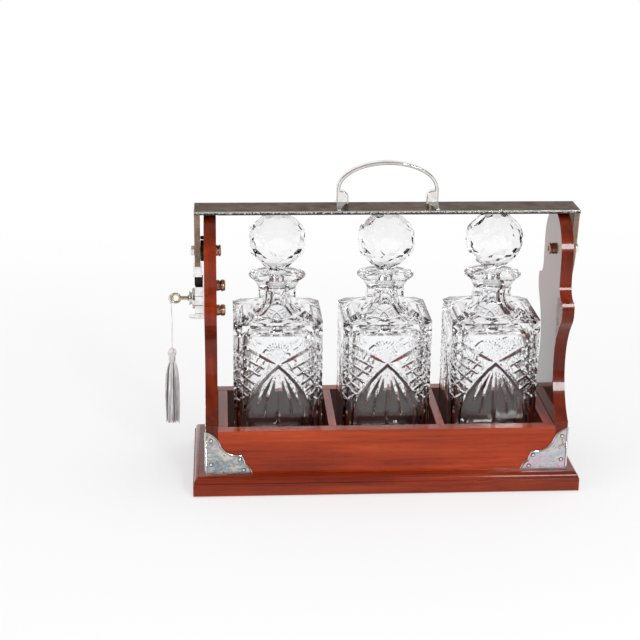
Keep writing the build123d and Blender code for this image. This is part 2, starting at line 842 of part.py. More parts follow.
def make_lock_nuts():
    nut = round_nut(lock_nut_thick, lock_stud_diameter, False)
    return [Pos(-panel_in, 0, z) * Rot(0, 90, 0) * nut for z in lock_stud_heights()]


def make_plug():
    """Turning plug: flange, barrel with the key's way, and a crank disc with its pin."""
    flange_in = flange_out - plug_flange_thick
    flange = rod_x(-flange_out, -flange_in, plug_flange_diameter, z=key_height)
    flange = chamfer(flange.edges().filter_by(GeomType.CIRCLE).sort_by(Axis.X)[0], plug_flange_thick / 3)
    barrel = rod_x(-flange_in, -crank_out, plug_diameter, z=key_height)
    crank = rod_x(-crank_out, -crank_out + crank_thick, crank_diameter, z=key_height)
    pin_y = crank_throw * cos(crank_rest)
    pin_z = key_height + crank_throw * sin(crank_rest)
    pin = rod_x(-crank_out + crank_thick, -bolt_in, crank_pin, y=pin_y, z=pin_z)
    way = key_depth + key_play
    shank = rod_x(-flange_out, -flange_out + way, key_shank + 2 * key_play, z=key_height)
    half = bit_thick / 2 + key_play
    low = key_height - bit_drop - key_play
    slot = block(-flange_out, -flange_out + way, -half, half, low, key_height)
    return flange + barrel + crank + pin - shank - slot


def make_bolt():
    """Lock bolt with a slotted yoke at its foot, in which the crank's pin works."""
    slot_near = crank_throw * cos(crank_rest) - crank_pin / 2 - yoke_play
    slot_far = crank_throw + crank_pin / 2 + yoke_play
    slot_z = key_height + crank_throw * sin(crank_rest)
    slot_half = crank_pin / 2 + yoke_play
    low = slot_z - slot_half - yoke_wall
    far = slot_far + yoke_wall
    stem = block(-bolt_out, -bolt_in, -bolt_half, bolt_half, low, bolt_rest_top())
    yoke = block(-bolt_out, -bolt_in, 0, far, low, slot_z + slot_half + yoke_wall)
    slot = block(-bolt_out, -bolt_in, slot_near, slot_far, slot_z - slot_half, slot_z + slot_half)
    return stem + yoke - slot


# ---------------------------------------------------------------- key and tassel
def make_key():
    """Key with a ring bow, a collar and a single bit."""
    inner = -flange_out + key_depth
    shank = rod_x(bow_x + bow_radius, inner, key_shank, z=key_height)
    collar = rod_x(-flange_out - key_collar_thick, -flange_out, key_collar_diameter, z=key_height)
    half = bit_thick / 2
    bit = block(inner - bit_length, inner, -half, half, key_height - bit_drop, key_height)
    bow = Pos(bow_x, 0, key_height) * Rot(90, 0, 0) * Torus(bow_radius, bow_wire / 2)
    return shank + collar + bit + bow


def make_loop():
    """Loop of cord through the bow, leaning so that the bow can turn inside it, and its round knot."""
    lean = Plane(origin=(ring_x, 0, key_height), x_dir=(1, 0, 0), z_dir=(0, 1, -1))
    run = loop_half_length - loop_half_width
    w = loop_half_width
    with BuildLine(lean) as path:
        Line((w, -run), (w, run))
        ThreePointArc((w, run), (0, run + w), (-w, run))
        Line((-w, run), (-w, -run))
        ThreePointArc((-w, -run), (0, -run - w), (w, -run))
    section = Plane(origin=path.wire() @ 0, z_dir=path.wire() % 0) * Circle(cord_diameter / 2)
    ring = sweep(section, path=path.wire())
    knot = Cylinder(knot_diameter / 2, knot_diameter)
    knot = fillet(knot.edges().filter_by(GeomType.CIRCLE), knot_diameter / 4)
    return ring + Pos(ring_x, knot_y, knot_z) * Rot(90, 0, 0) * knot


def make_cord():
    return rod_z(tassel_top, cord_top, cord_diameter, ring_x, knot_y)


def make_tassel_head():
    """Wound knob with a neck bound by rings of thread."""
    r = tassel_head_diameter / 2
    neck = tassel_neck_diameter / 2
    pitch = tassel_neck_height / tassel_bindings
    with BuildPart() as made:
        with BuildSketch(Plane.XZ):
            with BuildLine():
                Line((0, 0), (cord_diameter, 0))
                Spline(
                    (cord_diameter, 0),
                    (r * knob_shoulder, -tassel_head_height * knob_rise),
                    (r, -tassel_head_height / 2),
                    (r * knob_shoulder, -tassel_head_height * (1 - knob_rise)),
                    (neck, -tassel_head_height),
                )
                for turn in range(tassel_bindings):
                    low = -tassel_head_height - turn * pitch
                    ThreePointArc((neck, low), (neck + pitch * 0.4, low - pitch / 2), (neck, low - pitch))
                bottom = -tassel_head_height - tassel_neck_height
                Line((neck, bottom), (0, bottom))
                Line((0, bottom), (0, 0))
            make_face()
        revolve(axis=Axis.Z)
    return Pos(ring_x, knot_y, tassel_top) * made.part


def fold_section(radius, z):
    """Outline of the skirt with rounded folds, at one height."""
    points = []
    for k in range(2 * skirt_folds):
        angle = pi * k / skirt_folds
        r = radius * (1 if k % 2 else 1 - fold_depth)
        points.append((r * cos(angle), r * sin(angle)))
    with BuildSketch(Plane.XY.offset(z)) as sketch:
        with BuildLine():
            for k in range(0, 2 * skirt_folds, 2):
                ThreePointArc(points[k], points[k + 1], points[(k + 2) % (2 * skirt_folds)])
        make_face()
    return sketch.sketch


def make_skirt():
    """Skirt of threads that hang from the neck in folds and spread a little."""
    neck = tassel_neck_diameter / 2
    full = skirt_diameter / 2
    shares = [(0, neck * 0.95), (0.12, full * 0.62), (0.4, full * 0.86), (1, full)]
    sections = [fold_section(radius, -share * skirt_length) for share, radius in shares]
    return Pos(ring_x, knot_y, skirt_top) * loft(sections, ruled=True)


# ---------------------------------------------------------------- decanters and stoppers
def octagon(half, corner, z):
    """Square of the given half side with its corners cut by a given length along each side."""
    flat = half - corner
    points = [(half, -flat), (half, flat), (flat, half), (-flat, half)]
    points += [(-half, flat), (-half, -flat), (-flat, -half), (flat, -half)]
    return Pos(0, 0, z) * make_face(Polyline(*points, close=True))


def shoulder_sections():
    """Eight-sided sections from the body's edge up the hollow shoulder to the neck."""
    low = decanter_side / 2
    top = neck_width / 2
    top_corner = top * (1 - tan(pi / 8))
    sections = []
    for step in range(shoulder_steps + 1):
        share = 1 - step / shoulder_steps
        half = top + (low - top) * share**shoulder_hollow
        corner = top_corner + (decanter_chamfer - top_corner) * share**shoulder_hollow
        sections.append(octagon(half, corner, shoulder_low + shoulder_rise * (1 - share)))
    return sections


def decanter_outside():
    """Cut-glass body, hollow shoulder, eight-sided neck and flaring lip."""
    side = decanter_side / 2
    body = extrude(octagon(side, decanter_chamfer, plinth_top), decanter_body)
    body = chamfer(body.faces().sort_by(Axis.Z)[0].edges(), decanter_foot)
    shoulder = loft(shoulder_sections(), ruled=True)
    neck_half = neck_width / 2
    corner = neck_half * (1 - tan(pi / 8))
    neck = extrude(octagon(neck_half, corner, neck_low), neck_length)
    rim = lip_diameter / 2
    lip = turned([
        (0, neck_low),
        (neck_half, neck_low),
        (neck_half, lip_low),
        (rim - lip_ease, rim_top - lip_rim),
        (rim, rim_top - lip_rim + lip_ease),
        (rim, rim_top - lip_ease),
        (rim - lip_ease, rim_top),
        (stem_diameter / 2 + mouth_land, mouth_top),
        (0, mouth_top),
    ])
    return body + shoulder + neck + lip


def decanter_cavity():
    """Blown inside: a rounded square well, a funnel and the ground bore for the stopper."""
    half = decanter_side / 2 - wall_thick
    well = block(-half, half, -half, half, cavity_low, cavity_top)
    well = fillet(well.edges().filter_by(Axis.Z), cavity_corner)
    well = fillet(well.faces().sort_by(Axis.Z)[-1].edges(), cavity_crown)
    top = stem_diameter / 2 + stopper_play
    end = plug_foot_diameter / 2 + stopper_play
    funnel = turned([
        (0, cavity_top - funnel_depth),
        (half - cavity_crown - funnel_inset, cavity_top - funnel_depth),
        (end + funnel_flare, cavity_top + funnel_rise),
        (end, neck_low + funnel_neck),
        (end, plug_end),
        (top, mouth_top),
        (0, mouth_top),
    ])
    return well + funnel


def leaf_cut(start, end, half, depth):
    """Wedge for a leaf-shaped cut in the front face, widest and deepest half way along."""
    grown = 1 + cut_approach / depth
    start = Vector(start[0], 0, start[1])
    end = Vector(end[0], 0, end[1])
    middle = (start + end) * 0.5
    along = (end - start) * 0.5
    across = Vector(along.Z, 0, -along.X).normalized() * half
    along = along * grown
    across = across * grown
    corners = [middle + along, middle + across, middle - along, middle - across]
    front = Pos(0, -decanter_side / 2 - cut_approach, plinth_top + cut_eye)
    wheel_edge = Vertex(middle.X, depth + cut_approach, middle.Z)
    return front * loft([make_face(Polyline(*corners, close=True)), wheel_edge], ruled=True)


def arch_cut():
    """Long wedge for one side of the pointed arch, from the eye to the foot."""
    grown = 1 + cut_approach / arch_depth
    face = Plane(origin=(0, -decanter_side / 2, plinth_top + cut_eye), x_dir=(1, 0, 0), z_dir=(0, -1, 0))
    with BuildLine(face) as path:
        side = ThreePointArc((0, 0), arch_shoulder, arch_spring)
        tangent = side % 1
        foot = (arch_spring[0] + tangent.X * arch_foot, arch_spring[1] + tangent.Z * arch_foot)
        Line(arch_spring, foot)
    line = path.wire()
    start = Plane(origin=line @ 0, x_dir=(0, -1, 0), z_dir=line % 0)
    corners = [(cut_approach, -arch_half * grown), (cut_approach, arch_half * grown), (-arch_depth, 0)]
    wheel = start * make_face(Polyline(*corners, close=True))
    return sweep(wheel, path=line)


def face_cuts():
    """All the cuts of the front face: two mitres, the pointed arch and the fan of blades in it."""
    side = [leaf_cut((0, 0), mitre_end, mitre_half, mitre_depth), arch_cut()]
    for lean, length in blades[1:]:
        ray = (sin(radians(lean)), -cos(radians(lean)))
        start = (ray[0] * blade_root, ray[1] * blade_root)
        end = (ray[0] * (blade_root + length), ray[1] * (blade_root + length))
        side.append(leaf_cut(start, end, blade_half, blade_depth))
    middle = leaf_cut((0, -blade_root), (0, -blade_root - blades[0][1]), blade_half, blade_depth)
    return side + [mirror(cut, about=Plane.YZ) for cut in side] + [middle]


def make_decanter():
    decanter = decanter_outside() - decanter_cavity()
    cuts = face_cuts()
    return decanter - [Rot(0, 0, turn * quarter_turn) * cut for turn in range(4) for cut in cuts]


def ball_facets():
    """Directions of the ball's cut facets in three staggered rings."""
    facets = []
    for height, phase in [(ball_high_facets, 0.5), (0, 0), (-ball_low_facets, 0.5)]:
        up = radians(height)
        for k in range(ball_ring):
            turn = 2 * pi * (k + phase) / ball_ring
            facets.append((cos(up) * cos(turn), cos(up) * sin(turn), sin(up)))
    return facets


def make_stopper():
    """Faceted ball on a stem that tapers into the ground bore."""
    r = ball_diameter / 2
    ball = Box(4 * r, 4 * r, 4 * r)
    for direction in ball_facets():
        normal = Vector(*direction)
        ball = split(ball, bisect_by=Plane(origin=normal * facet_distance, z_dir=normal), keep=Keep.BOTTOM)
    ball = Pos(0, 0, ball_middle) * ball
    ball &= block(-r, r, -r, r, ball_foot, ball_middle + r - ball_drop)
    stem = stem_diameter / 2
    end = plug_foot_diameter / 2
    shank = turned([
        (0, plug_end),
        (end - plug_ease, plug_end),
        (end, plug_end + plug_ease),
        (stem, mouth_top),
        (stem, ball_foot),
        (0, ball_foot),
    ])
    return ball + shank


# ---------------------------------------------------------------- the pieces
def all_pieces():
    pieces = {
        "baize_underside": make_baize(),
        "plinth": make_plinth(),
        "plinth_screws": group(place * board_screw() for place in board_screw_places()),
        "front_rail": bored_for_pins(make_rail(-1)),
        "back_rail": bored_for_pins(make_rail(1)),
        "left_end_board": make_cross_board(-board_in - end_board_thick / 2, end_board_thick),
        "right_end_board": make_cross_board(board_in + end_board_thick / 2, end_board_thick),
        "left_divider": make_cross_board(-divider_x, divider_thick),
        "right_divider": make_cross_board(divider_x, divider_thick),
        "left_end_panel": bored_for_pins(make_left_panel()),
        "right_end_panel": bored_for_pins(make_right_panel()),
        "locking_bar": make_bar(),
        "bar_lining": make_lining(),
        "left_arm": make_left_arm(),
        "right_arm": arm_from(pointed_outline()),
        "striker": make_striker(),
        "arm_rivets": group(make_rivets()),
        "carrying_handle": make_handle(),
        "handle_screws": group(Pos(x, 0, 0) * handle_screw_solid() for x in handle_screw_places()),
        "lock_backplate": make_backplate(),
        "lock_case": make_case(),
        "bolt_guide": make_guide(),
        "lock_foot_plate": make_foot_plate(),
        "lock_studs": group(make_lock_studs()),
        "lock_nuts": group(make_lock_nuts()),
        "lock_plug": make_plug(),
        "lock_bolt": make_bolt(),
        "key": make_key(),
        "tassel_loop": make_loop(),
        "tassel_cord": make_cord(),
        "tassel_head": make_tassel_head(),
        "tassel_skirt": make_skirt(),
    }
    for name, right, back in [
        ("front_left", False, False),
        ("front_right", True, False),
        ("back_left", False, True),
        ("back_right", True, True),
    ]:
        pieces[name + "_mount"] = to_corner(make_mount(), right, back)
        pieces[name + "_pins"] = group(to_corner(pin, right, back) for pin in make_pins())
    for name, piece in [
        ("pivot_bolt", make_pivot_bolt()),
        ("pivot_washer", make_washer()),
        ("pivot_nut", make_pivot_nut()),
        ("spacer_stud", make_spacer_stud()),
    ]:
        pieces["left_" + name] = piece
        pieces["right_" + name] = other_end(piece)
    decanter = make_decanter()
    stopper = make_stopper()
    for name, x in [("left", -well_pitch), ("centre", 0), ("right", well_pitch)]:
        pieces["decanter_" + name] = Pos(x, 0, 0) * decanter
        pieces["stopper_" + name] = Pos(x, 0, 0) * stopper
    return pieces


os.makedirs("parts", exist_ok=True)
for name, piece in all_pieces().items():
    export_step(piece, "parts/" + name + ".step")
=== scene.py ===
"""Looks of a three-decanter tantalus: polished mahogany, worn silver plate and hand-cut glass."""

import json
from math import cos, pi, radians, sin, sqrt
from random import Random

import bmesh
import bpy
import numpy as np
from mathutils import Matrix, Vector

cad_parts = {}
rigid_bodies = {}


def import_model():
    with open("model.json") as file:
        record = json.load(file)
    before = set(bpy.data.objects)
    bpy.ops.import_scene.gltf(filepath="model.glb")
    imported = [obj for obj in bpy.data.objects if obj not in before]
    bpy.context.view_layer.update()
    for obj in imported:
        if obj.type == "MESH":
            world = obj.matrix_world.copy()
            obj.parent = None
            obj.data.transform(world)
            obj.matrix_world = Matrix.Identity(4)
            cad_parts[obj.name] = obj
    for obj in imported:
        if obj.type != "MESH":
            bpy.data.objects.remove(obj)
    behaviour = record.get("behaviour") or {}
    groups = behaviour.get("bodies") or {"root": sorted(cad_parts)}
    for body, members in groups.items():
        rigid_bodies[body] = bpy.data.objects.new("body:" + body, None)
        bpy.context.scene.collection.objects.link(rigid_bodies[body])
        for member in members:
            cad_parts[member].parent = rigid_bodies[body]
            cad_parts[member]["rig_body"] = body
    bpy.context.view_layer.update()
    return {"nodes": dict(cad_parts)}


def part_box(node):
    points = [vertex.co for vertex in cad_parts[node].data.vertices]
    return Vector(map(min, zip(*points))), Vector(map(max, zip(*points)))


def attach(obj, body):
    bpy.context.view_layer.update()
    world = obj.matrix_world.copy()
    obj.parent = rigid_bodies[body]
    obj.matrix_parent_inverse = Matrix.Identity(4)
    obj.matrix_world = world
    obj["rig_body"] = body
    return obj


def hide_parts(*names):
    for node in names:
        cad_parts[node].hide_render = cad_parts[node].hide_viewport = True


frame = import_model()
scene = bpy.context.scene
MM = 0.001

# ---------------------------------------------------------------- camera
camera = bpy.data.objects.new("camera", bpy.data.cameras.new("camera"))
scene.collection.objects.link(camera)
scene.camera = camera
camera.data.sensor_width = 36.0
camera.data.lens = 86.37
camera.matrix_world = (
    Matrix.Translation((-0.1636, -1.4590, 0.6548))
    @ Matrix.Rotation(radians(-3.88), 4, "Z")
    @ Matrix.Rotation(radians(90 - 18.71), 4, "X")
    @ Matrix.Rotation(radians(0.70), 4, "Z")
)


def body_of(node):
    return frame["nodes"][node]["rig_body"]


def stand_for(piece, *nodes):
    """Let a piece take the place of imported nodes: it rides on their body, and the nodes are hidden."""
    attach(piece, body_of(nodes[0]))
    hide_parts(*nodes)
    return piece


def as_object(bm, name, finish, crease=30.0):
    """A smooth-shaded mesh object whose edges sharper than the crease stay sharp."""
    mesh = bpy.data.meshes.new(name)
    bm.to_mesh(mesh)
    bm.free()
    mesh.polygons.foreach_set("use_smooth", [True] * len(mesh.polygons))
    mesh.set_sharp_from_angle(angle=radians(crease))
    mesh.materials.append(finish)
    made = bpy.data.objects.new(name, mesh)
    scene.collection.objects.link(made)
    return made


def merged_copy(node):
    """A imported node's shape as a welded bmesh, its flat faces joined up."""
    bm = bmesh.new()
    bm.from_mesh(frame["nodes"][node].data)
    bmesh.ops.remove_doubles(bm, verts=bm.verts, dist=2e-6)
    bmesh.ops.dissolve_limit(bm, angle_limit=radians(0.4), verts=bm.verts, edges=bm.edges)
    return bm


def ease_arrises(piece, edge, segments=2, crease=30.0, worn=None):
    """Round every arris by the given radius in millimetres, in a second finish where it is worn."""
    bevel = piece.modifiers.new("arris", "BEVEL")
    bevel.width = edge * MM
    bevel.segments = segments
    bevel.limit_method = "ANGLE"
    bevel.angle_limit = radians(crease)
    bevel.use_clamp_overlap = True
    bevel.harden_normals = True
    if worn is not None:
        piece.data.materials.append(worn)
        bevel.material = 1


def eased(node, finish, edge, segments=2, crease=30.0, worn=None, painted_groove_shade=()):
    """The node's own shape with its arrises eased, and dark bands at (height, width) in millimetres, painted shade of
    grooves the shape lacks.
    """
    bm = merged_copy(node)
    # each band is cut out and drawn in dark steel on upright faces: painted shade of a groove that is not modelled
    for height, width in painted_groove_shade:
        for side in (-0.5, 0.5):
            bmesh.ops.bisect_plane(
                bm, geom=bm.verts[:] + bm.edges[:] + bm.faces[:], dist=1e-6,
                plane_co=(0, 0, (height + side * width) * MM), plane_no=(0, 0, 1),
            )
    for face in bm.faces:
        middle = face.calc_center_median().z / MM
        if any(abs(middle - height) < width / 2 and abs(face.normal.z) < 0.5 for height, width in painted_groove_shade):
            face.material_index = 1
    piece = as_object(bm, "eased_" + node, finish, crease)
    if painted_groove_shade:
        piece.data.materials.append(steel)
    ease_arrises(piece, edge, segments, crease, worn)
    return stand_for(piece, node)


def dressed(node, finish):
    """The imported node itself, with a better material."""
    mesh = frame["nodes"][node].data
    mesh.materials.clear()
    mesh.materials.append(finish)


# ---------------------------------------------------------------- finishes
class Finish:
    """A node material. Its calls add nodes and give back the socket that carries the result."""

    def __init__(self, name, constants):
        self.material = bpy.data.materials.new(name)
        self.material.use_nodes = True
        self.nodes = self.material.node_tree.nodes
        self.links = self.material.node_tree.links
        self.shader = self.nodes["Principled BSDF"]
        for socket, value in constants.items():
            self.shader.inputs[socket].default_value = value

    def wire(self, value, socket):
        if isinstance(value, bpy.types.NodeSocket):
            self.links.new(value, socket)
        else:
            socket.default_value = value

    def put(self, value, socket):
        self.wire(value, self.shader.inputs[socket])

    def place(self, scale=(1, 1, 1), turn=(0, 0, 0), shift=(0, 0, 0)):
        mapping = self.nodes.new("ShaderNodeMapping")
        mapping.inputs["Location"].default_value = shift
        mapping.inputs["Rotation"].default_value = turn
        mapping.inputs["Scale"].default_value = scale
        source = self.nodes.new("ShaderNodeTexCoord").outputs["Object"]
        self.links.new(source, mapping.inputs["Vector"])
        return mapping.outputs["Vector"]

    def along(self, axis):
        parts = self.nodes.new("ShaderNodeSeparateXYZ")
        self.links.new(self.place(), parts.inputs[0])
        return parts.outputs[axis]

    def noise(self, where, scale=1.0, detail=4.0, rough=0.55, bend=0.0):
        node = self.nodes.new("ShaderNodeTexNoise")
        for socket, value in (("Vector", where), ("Scale", scale), ("Detail", detail)):
            self.wire(value, node.inputs[socket])
        self.wire(rough, node.inputs["Roughness"])
        self.wire(bend, node.inputs["Distortion"])
        return node.outputs["Fac"]

    def cells(self, where, scale=1.0, feature="F1", spread=1.0):
        node = self.nodes.new("ShaderNodeTexVoronoi")
        node.feature = feature
        self.wire(where, node.inputs["Vector"])
        self.wire(scale, node.inputs["Scale"])
        self.wire(spread, node.inputs["Randomness"])
        return node.outputs["Distance"]

    def waves(self, where, scale, bend=0.0, detail=2.0, axis="X"):
        node = self.nodes.new("ShaderNodeTexWave")
        node.bands_direction = axis
        self.wire(where, node.inputs["Vector"])
        self.wire(scale, node.inputs["Scale"])
        self.wire(bend, node.inputs["Distortion"])
        self.wire(detail, node.inputs["Detail"])
        return node.outputs["Fac"]

    def ramp(self, value, stops):
        node = self.nodes.new("ShaderNodeValToRGB")
        elements = node.color_ramp.elements
        while len(elements) < len(stops):
            elements.new(0.5)
        for element, (position, colour) in zip(elements, stops):
            element.position = position
            if not hasattr(colour, "__len__"):
                colour = (colour,) * 3
            element.color = (*colour, 1)
        self.links.new(value, node.inputs["Fac"])
        return node.outputs["Color"]

    def mix(self, share, a, b, kind="MIX"):
        node = self.nodes.new("ShaderNodeMix")
        node.data_type = "RGBA"
        node.blend_type = kind
        for index, value in ((0, share), (6, a), (7, b)):
            if index and not isinstance(value, bpy.types.NodeSocket):
                value = (*value, 1)
            self.wire(value, node.inputs[index])
        return node.outputs[2]

    def sum(self, kind, a, b):
        node = self.nodes.new("ShaderNodeMath")
        node.operation = kind
        self.wire(a, node.inputs[0])
        self.wire(b, node.inputs[1])
        return node.outputs["Value"]

    def between(self, value, low, high):
        node = self.nodes.new("ShaderNodeMapRange")
        self.wire(value, node.inputs["Value"])
        node.inputs["To Min"].default_value = low
        node.inputs["To Max"].default_value = high
        return node.outputs["Result"]

    def bump(self, height, strength, depth, under=None):
        node = self.nodes.new("ShaderNodeBump")
        node.inputs["Strength"].default_value = strength
        node.inputs["Distance"].default_value = depth * MM
        self.links.new(height, node.inputs["Height"])
        if under is not None:
            self.links.new(under, node.inputs["Normal"])
        return node.outputs["Normal"]


def mahogany(name, grain, seed=0.0, depth=1.0, shade=0.74, by_height=None, painted_shade_patch=None):
    """French-polished mahogany with its grain along an axis; depth darkens all of it and shade its clouds.

    by_height gives painted light and shade, how much darker or lighter it is drawn at each height for the
    changing light down the panels; the last argument the half length and half width of a dull patch in its
    middle, drawn grey-brown as painted shade inside the tray.
    """
    made = Finish(name, {"IOR": 1.2, "Coat Weight": 1.0, "Coat IOR": 1.25, "Coat Roughness": 0.04})
    long = "XYZ".index(grain)

    def along(across, with_grain):
        return tuple(with_grain if axis == long else across for axis in range(3))

    shift = (seed, seed * 0.7, seed * 1.3)
    figure = made.noise(made.place(along(46, 3.2), shift=shift), 1.0, 5.0, 0.6, 0.9)
    streaks = made.noise(made.place(along(260, 6), shift=shift), 1.0, 4.0, 0.65, 0.3)
    pores = made.noise(made.place(along(1500, 55), shift=shift), 1.0, 2.0, 0.6, 0.0)
    cloud = made.noise(made.place(along(9, 5) if shade > 0.6 else (7, 7, 22), shift=shift), 1.0, 3.0, 0.5, 0.0)
    tone = made.ramp(figure, [
        (0.25, tuple(part * depth for part in (0.21, 0.017, 0.003))),
        (0.50, tuple(part * depth for part in (0.345, 0.037, 0.007))),
        (0.76, tuple(part * depth for part in (0.50, 0.072, 0.015))),
    ])
    fine = made.ramp(streaks, [(0.30, 0.74), (0.52, 1.0), (0.75, 1.12)])
    tone = made.mix(1.0, tone, fine, "MULTIPLY")
    tone = made.mix(1.0, tone, made.ramp(cloud, [(0.32, shade), (0.66, 1.12)]), "MULTIPLY")
    open_pores = made.ramp(pores, [(0.30, 0.42), (0.42, 1.0)])
    tone = made.mix(0.75, tone, open_pores, "MULTIPLY")
    # painted light and shade: the tone is multiplied by a ramp over height, for the changing light down the panels
    if by_height is not None:
        tone = made.mix(1.0, tone, made.ramp(made.along("Z"), by_height), "MULTIPLY")
    # painted shade: inside this patch the wood is drawn grey-brown and given less coat, for the tray's inside in shade
    if painted_shade_patch is not None:
        near = [
            made.sum("LESS_THAN", made.sum("ABSOLUTE", made.along(axis), 0.0), half * MM)
            for axis, half in zip("XY", painted_shade_patch)
        ]
        in_shade_patch = made.sum("MULTIPLY", *near)
        tone = made.mix(in_shade_patch, tone, (0.20, 0.115, 0.10))
        made.put(made.between(in_shade_patch, 1.0, 0.15), "Coat Weight")
    made.put(tone, "Base Color")
    made.put(made.between(streaks, 0.30, 0.20), "Roughness")
    rough = made.bump(open_pores, 0.25, 0.05)
    made.put(made.bump(figure, 0.12, 0.25, rough), "Normal")
    return made.material


BAR_MIDDLE = 275.6  # height, in millimetres, below which the bar's edge is mostly pitted


def plate(name, bright, dull, tarnish=0.45, scale=1.0, rub=0.24, rubbed=None):
    """Silver plate worn thin and clouded, with fine wiping scratches; brighter and pitted beyond rubbed."""
    made = Finish(name, {"Metallic": 1.0})
    if rubbed is not None:
        made.shader.inputs["Specular Tint"].default_value = (0.42, 0.38, 0.35, 1)
    cloud = made.noise(made.place((scale * 70,) * 3), 1.0, 6.0, 0.62, 0.6)
    speck = made.noise(made.place((scale * 620,) * 3), 1.0, 3.0, 0.7, 0.2)
    wipe = made.noise(made.place((60, 900, 2400)), 1.0, 3.0, 0.6, 0.4)
    stain = made.ramp(cloud, [(0.40, 0.0), (0.66, 1.0)])
    tone = made.mix(made.sum("MULTIPLY", stain, tarnish), bright, dull)
    tone = made.mix(made.sum("MULTIPLY", made.ramp(speck, [(0.58, 0.0), (0.66, 1.0)]), 0.35), tone, dull)
    rough = made.sum("ADD", made.between(cloud, rub * 0.55, rub * 1.3), made.between(wipe, -0.03, 0.05))
    if rubbed is not None:
        beyond = made.sum("GREATER_THAN", made.sum("ABSOLUTE", made.along("Y"), 0.0), rubbed * MM)
        lower = made.sum("MULTIPLY", made.sum("SUBTRACT", BAR_MIDDLE * MM, made.along("Z")), 110.0)
        pits = made.ramp(made.sum("ADD", speck, lower), [(0.50, (0.66, 0.64, 0.61)), (0.56, (0.06, 0.05, 0.04))])
        tone = made.mix(beyond, tone, pits)
        rough = made.sum("MULTIPLY", rough, made.between(beyond, 1.0, 0.5))
    made.put(tone, "Base Color")
    made.put(rough, "Roughness")
    scratch = made.bump(wipe, 0.10, 0.03)
    made.put(made.bump(speck, 0.10, 0.05, scratch), "Normal")
    return made.material


def patina(name, ground, cold, lilac, deep, seed):
    """Pressed corner plate with rainbow tarnish in drifts and dull brown spots."""
    made = Finish(name, {"Metallic": 1.0})
    shift = (seed, seed * 0.6, seed * 1.7)
    cloud = made.noise(made.place((34, 34, 62), (0, 0.35, 0), shift), 1.0, 5.0, 0.62, 1.4)
    drift = made.noise(made.place((70, 70, 120), (0, 0.2, 0), shift), 1.0, 5.0, 0.65, 1.0)
    spot = made.noise(made.place((260, 260, 260), shift=shift), 1.0, 4.0, 0.7, 0.3)
    tone = made.ramp(cloud, [(0.33, deep), (0.42, ground), (0.50, cold), (0.57, lilac), (0.66, ground), (0.76, deep)])
    tone = made.mix(made.ramp(drift, [(0.48, 0.0), (0.70, 0.8)]), tone, ground)
    tone = made.mix(made.ramp(drift, [(0.28, 0.7), (0.40, 0.0)]), tone, deep)
    brown = made.ramp(spot, [(0.60, 0.0), (0.67, 0.85)])
    tone = made.mix(brown, tone, (0.13, 0.07, 0.05))
    made.put(tone, "Base Color")
    made.put(made.between(drift, 0.20, 0.46), "Roughness")
    rolled = made.bump(drift, 0.30, 0.25)
    made.put(made.bump(spot, 0.22, 0.08, rolled), "Normal")
    return made.material


def brass(name, bright, dull, rub=0.28):
    """Turned brass under old lacquer, browned where fingers don't reach."""
    made = Finish(name, {"Metallic": 1.0})
    cloud = made.noise(made.place((160, 160, 160)), 1.0, 5.0, 0.6, 0.5)
    lathe = made.noise(made.place((5200, 240, 240)), 1.0, 2.0, 0.6, 0.0)
    made.put(made.mix(made.ramp(cloud, [(0.38, 0.0), (0.68, 1.0)]), bright, dull), "Base Color")
    made.put(made.between(cloud, rub * 0.7, rub * 1.5), "Roughness")
    made.put(made.bump(lathe, 0.22, 0.03), "Normal")
    return made.material


def dark_steel(name):
    made = Finish(name, {"Metallic": 0.85, "Specular IOR Level": 0.4})
    cloud = made.noise(made.place((240, 240, 240)), 1.0, 5.0, 0.65, 0.3)
    grit = made.noise(made.place((2600, 2600, 2600)), 1.0, 2.0, 0.6, 0.0)
    made.put(made.ramp(cloud, [(0.35, (0.016, 0.014, 0.013)), (0.70, (0.075, 0.06, 0.05))]), "Base Color")
    made.put(made.between(cloud, 0.55, 0.32), "Roughness")
    made.put(made.bump(grit, 0.35, 0.04), "Normal")
    return made.material


def thread(name, light, dark, along=(1800, 1800, 90)):
    """Twisted silvery silk: fine fibres with a soft sheen."""
    made = Finish(name, {"Sheen Weight": 0.5, "Sheen Roughness": 0.35, "Metallic": 0.25})
    made.shader.inputs["Sheen Tint"].default_value = (0.9, 0.9, 0.95, 1)
    fibre = made.noise(made.place(along), 1.0, 3.0, 0.6, 0.2)
    cloud = made.noise(made.place((120, 120, 60)), 1.0, 3.0, 0.5, 0.0)
    tone = made.mix(made.ramp(fibre, [(0.36, 0.0), (0.62, 1.0)]), dark, light)
    made.put(made.mix(1.0, tone, made.ramp(cloud, [(0.3, 0.8), (0.7, 1.1)]), "MULTIPLY"), "Base Color")
    made.put(made.between(fibre, 0.62, 0.42), "Roughness")
    made.put(made.bump(fibre, 0.5, 0.08), "Normal")
    return made.material


def felt(name, colour):
    """Napped wool cloth."""
    made = Finish(name, {"Sheen Weight": 0.35, "Sheen Roughness": 0.6, "Roughness": 0.95})
    nap = made.noise(made.place((1900, 1900, 1900)), 1.0, 4.0, 0.7, 0.5)
    cloud = made.noise(made.place((90, 90, 90)), 1.0, 4.0, 0.6, 0.4)
    dark = tuple(part * 0.55 for part in colour)
    tone = made.mix(made.ramp(nap, [(0.35, 0.0), (0.7, 1.0)]), dark, colour)
    made.put(made.mix(1.0, tone, made.ramp(cloud, [(0.3, 0.75), (0.7, 1.15)]), "MULTIPLY"), "Base Color")
    made.put(made.bump(nap, 0.8, 0.12), "Normal")
    return made.material


def ground_glass(name):
    """The stopper's plug, ground to a white bloom where it seats."""
    made = Finish(name, {"Transmission Weight": 0.75, "IOR": 1.5})
    grit = made.noise(made.place((2400, 2400, 2400)), 1.0, 3.0, 0.6, 0.0)
    made.put(made.ramp(grit, [(0.35, (0.86, 0.86, 0.85)), (0.65, (0.97, 0.97, 0.965))]), "Base Color")
    made.put(made.between(grit, 0.45, 0.75), "Roughness")
    made.put(made.bump(grit, 0.4, 0.03), "Normal")
    return made.material


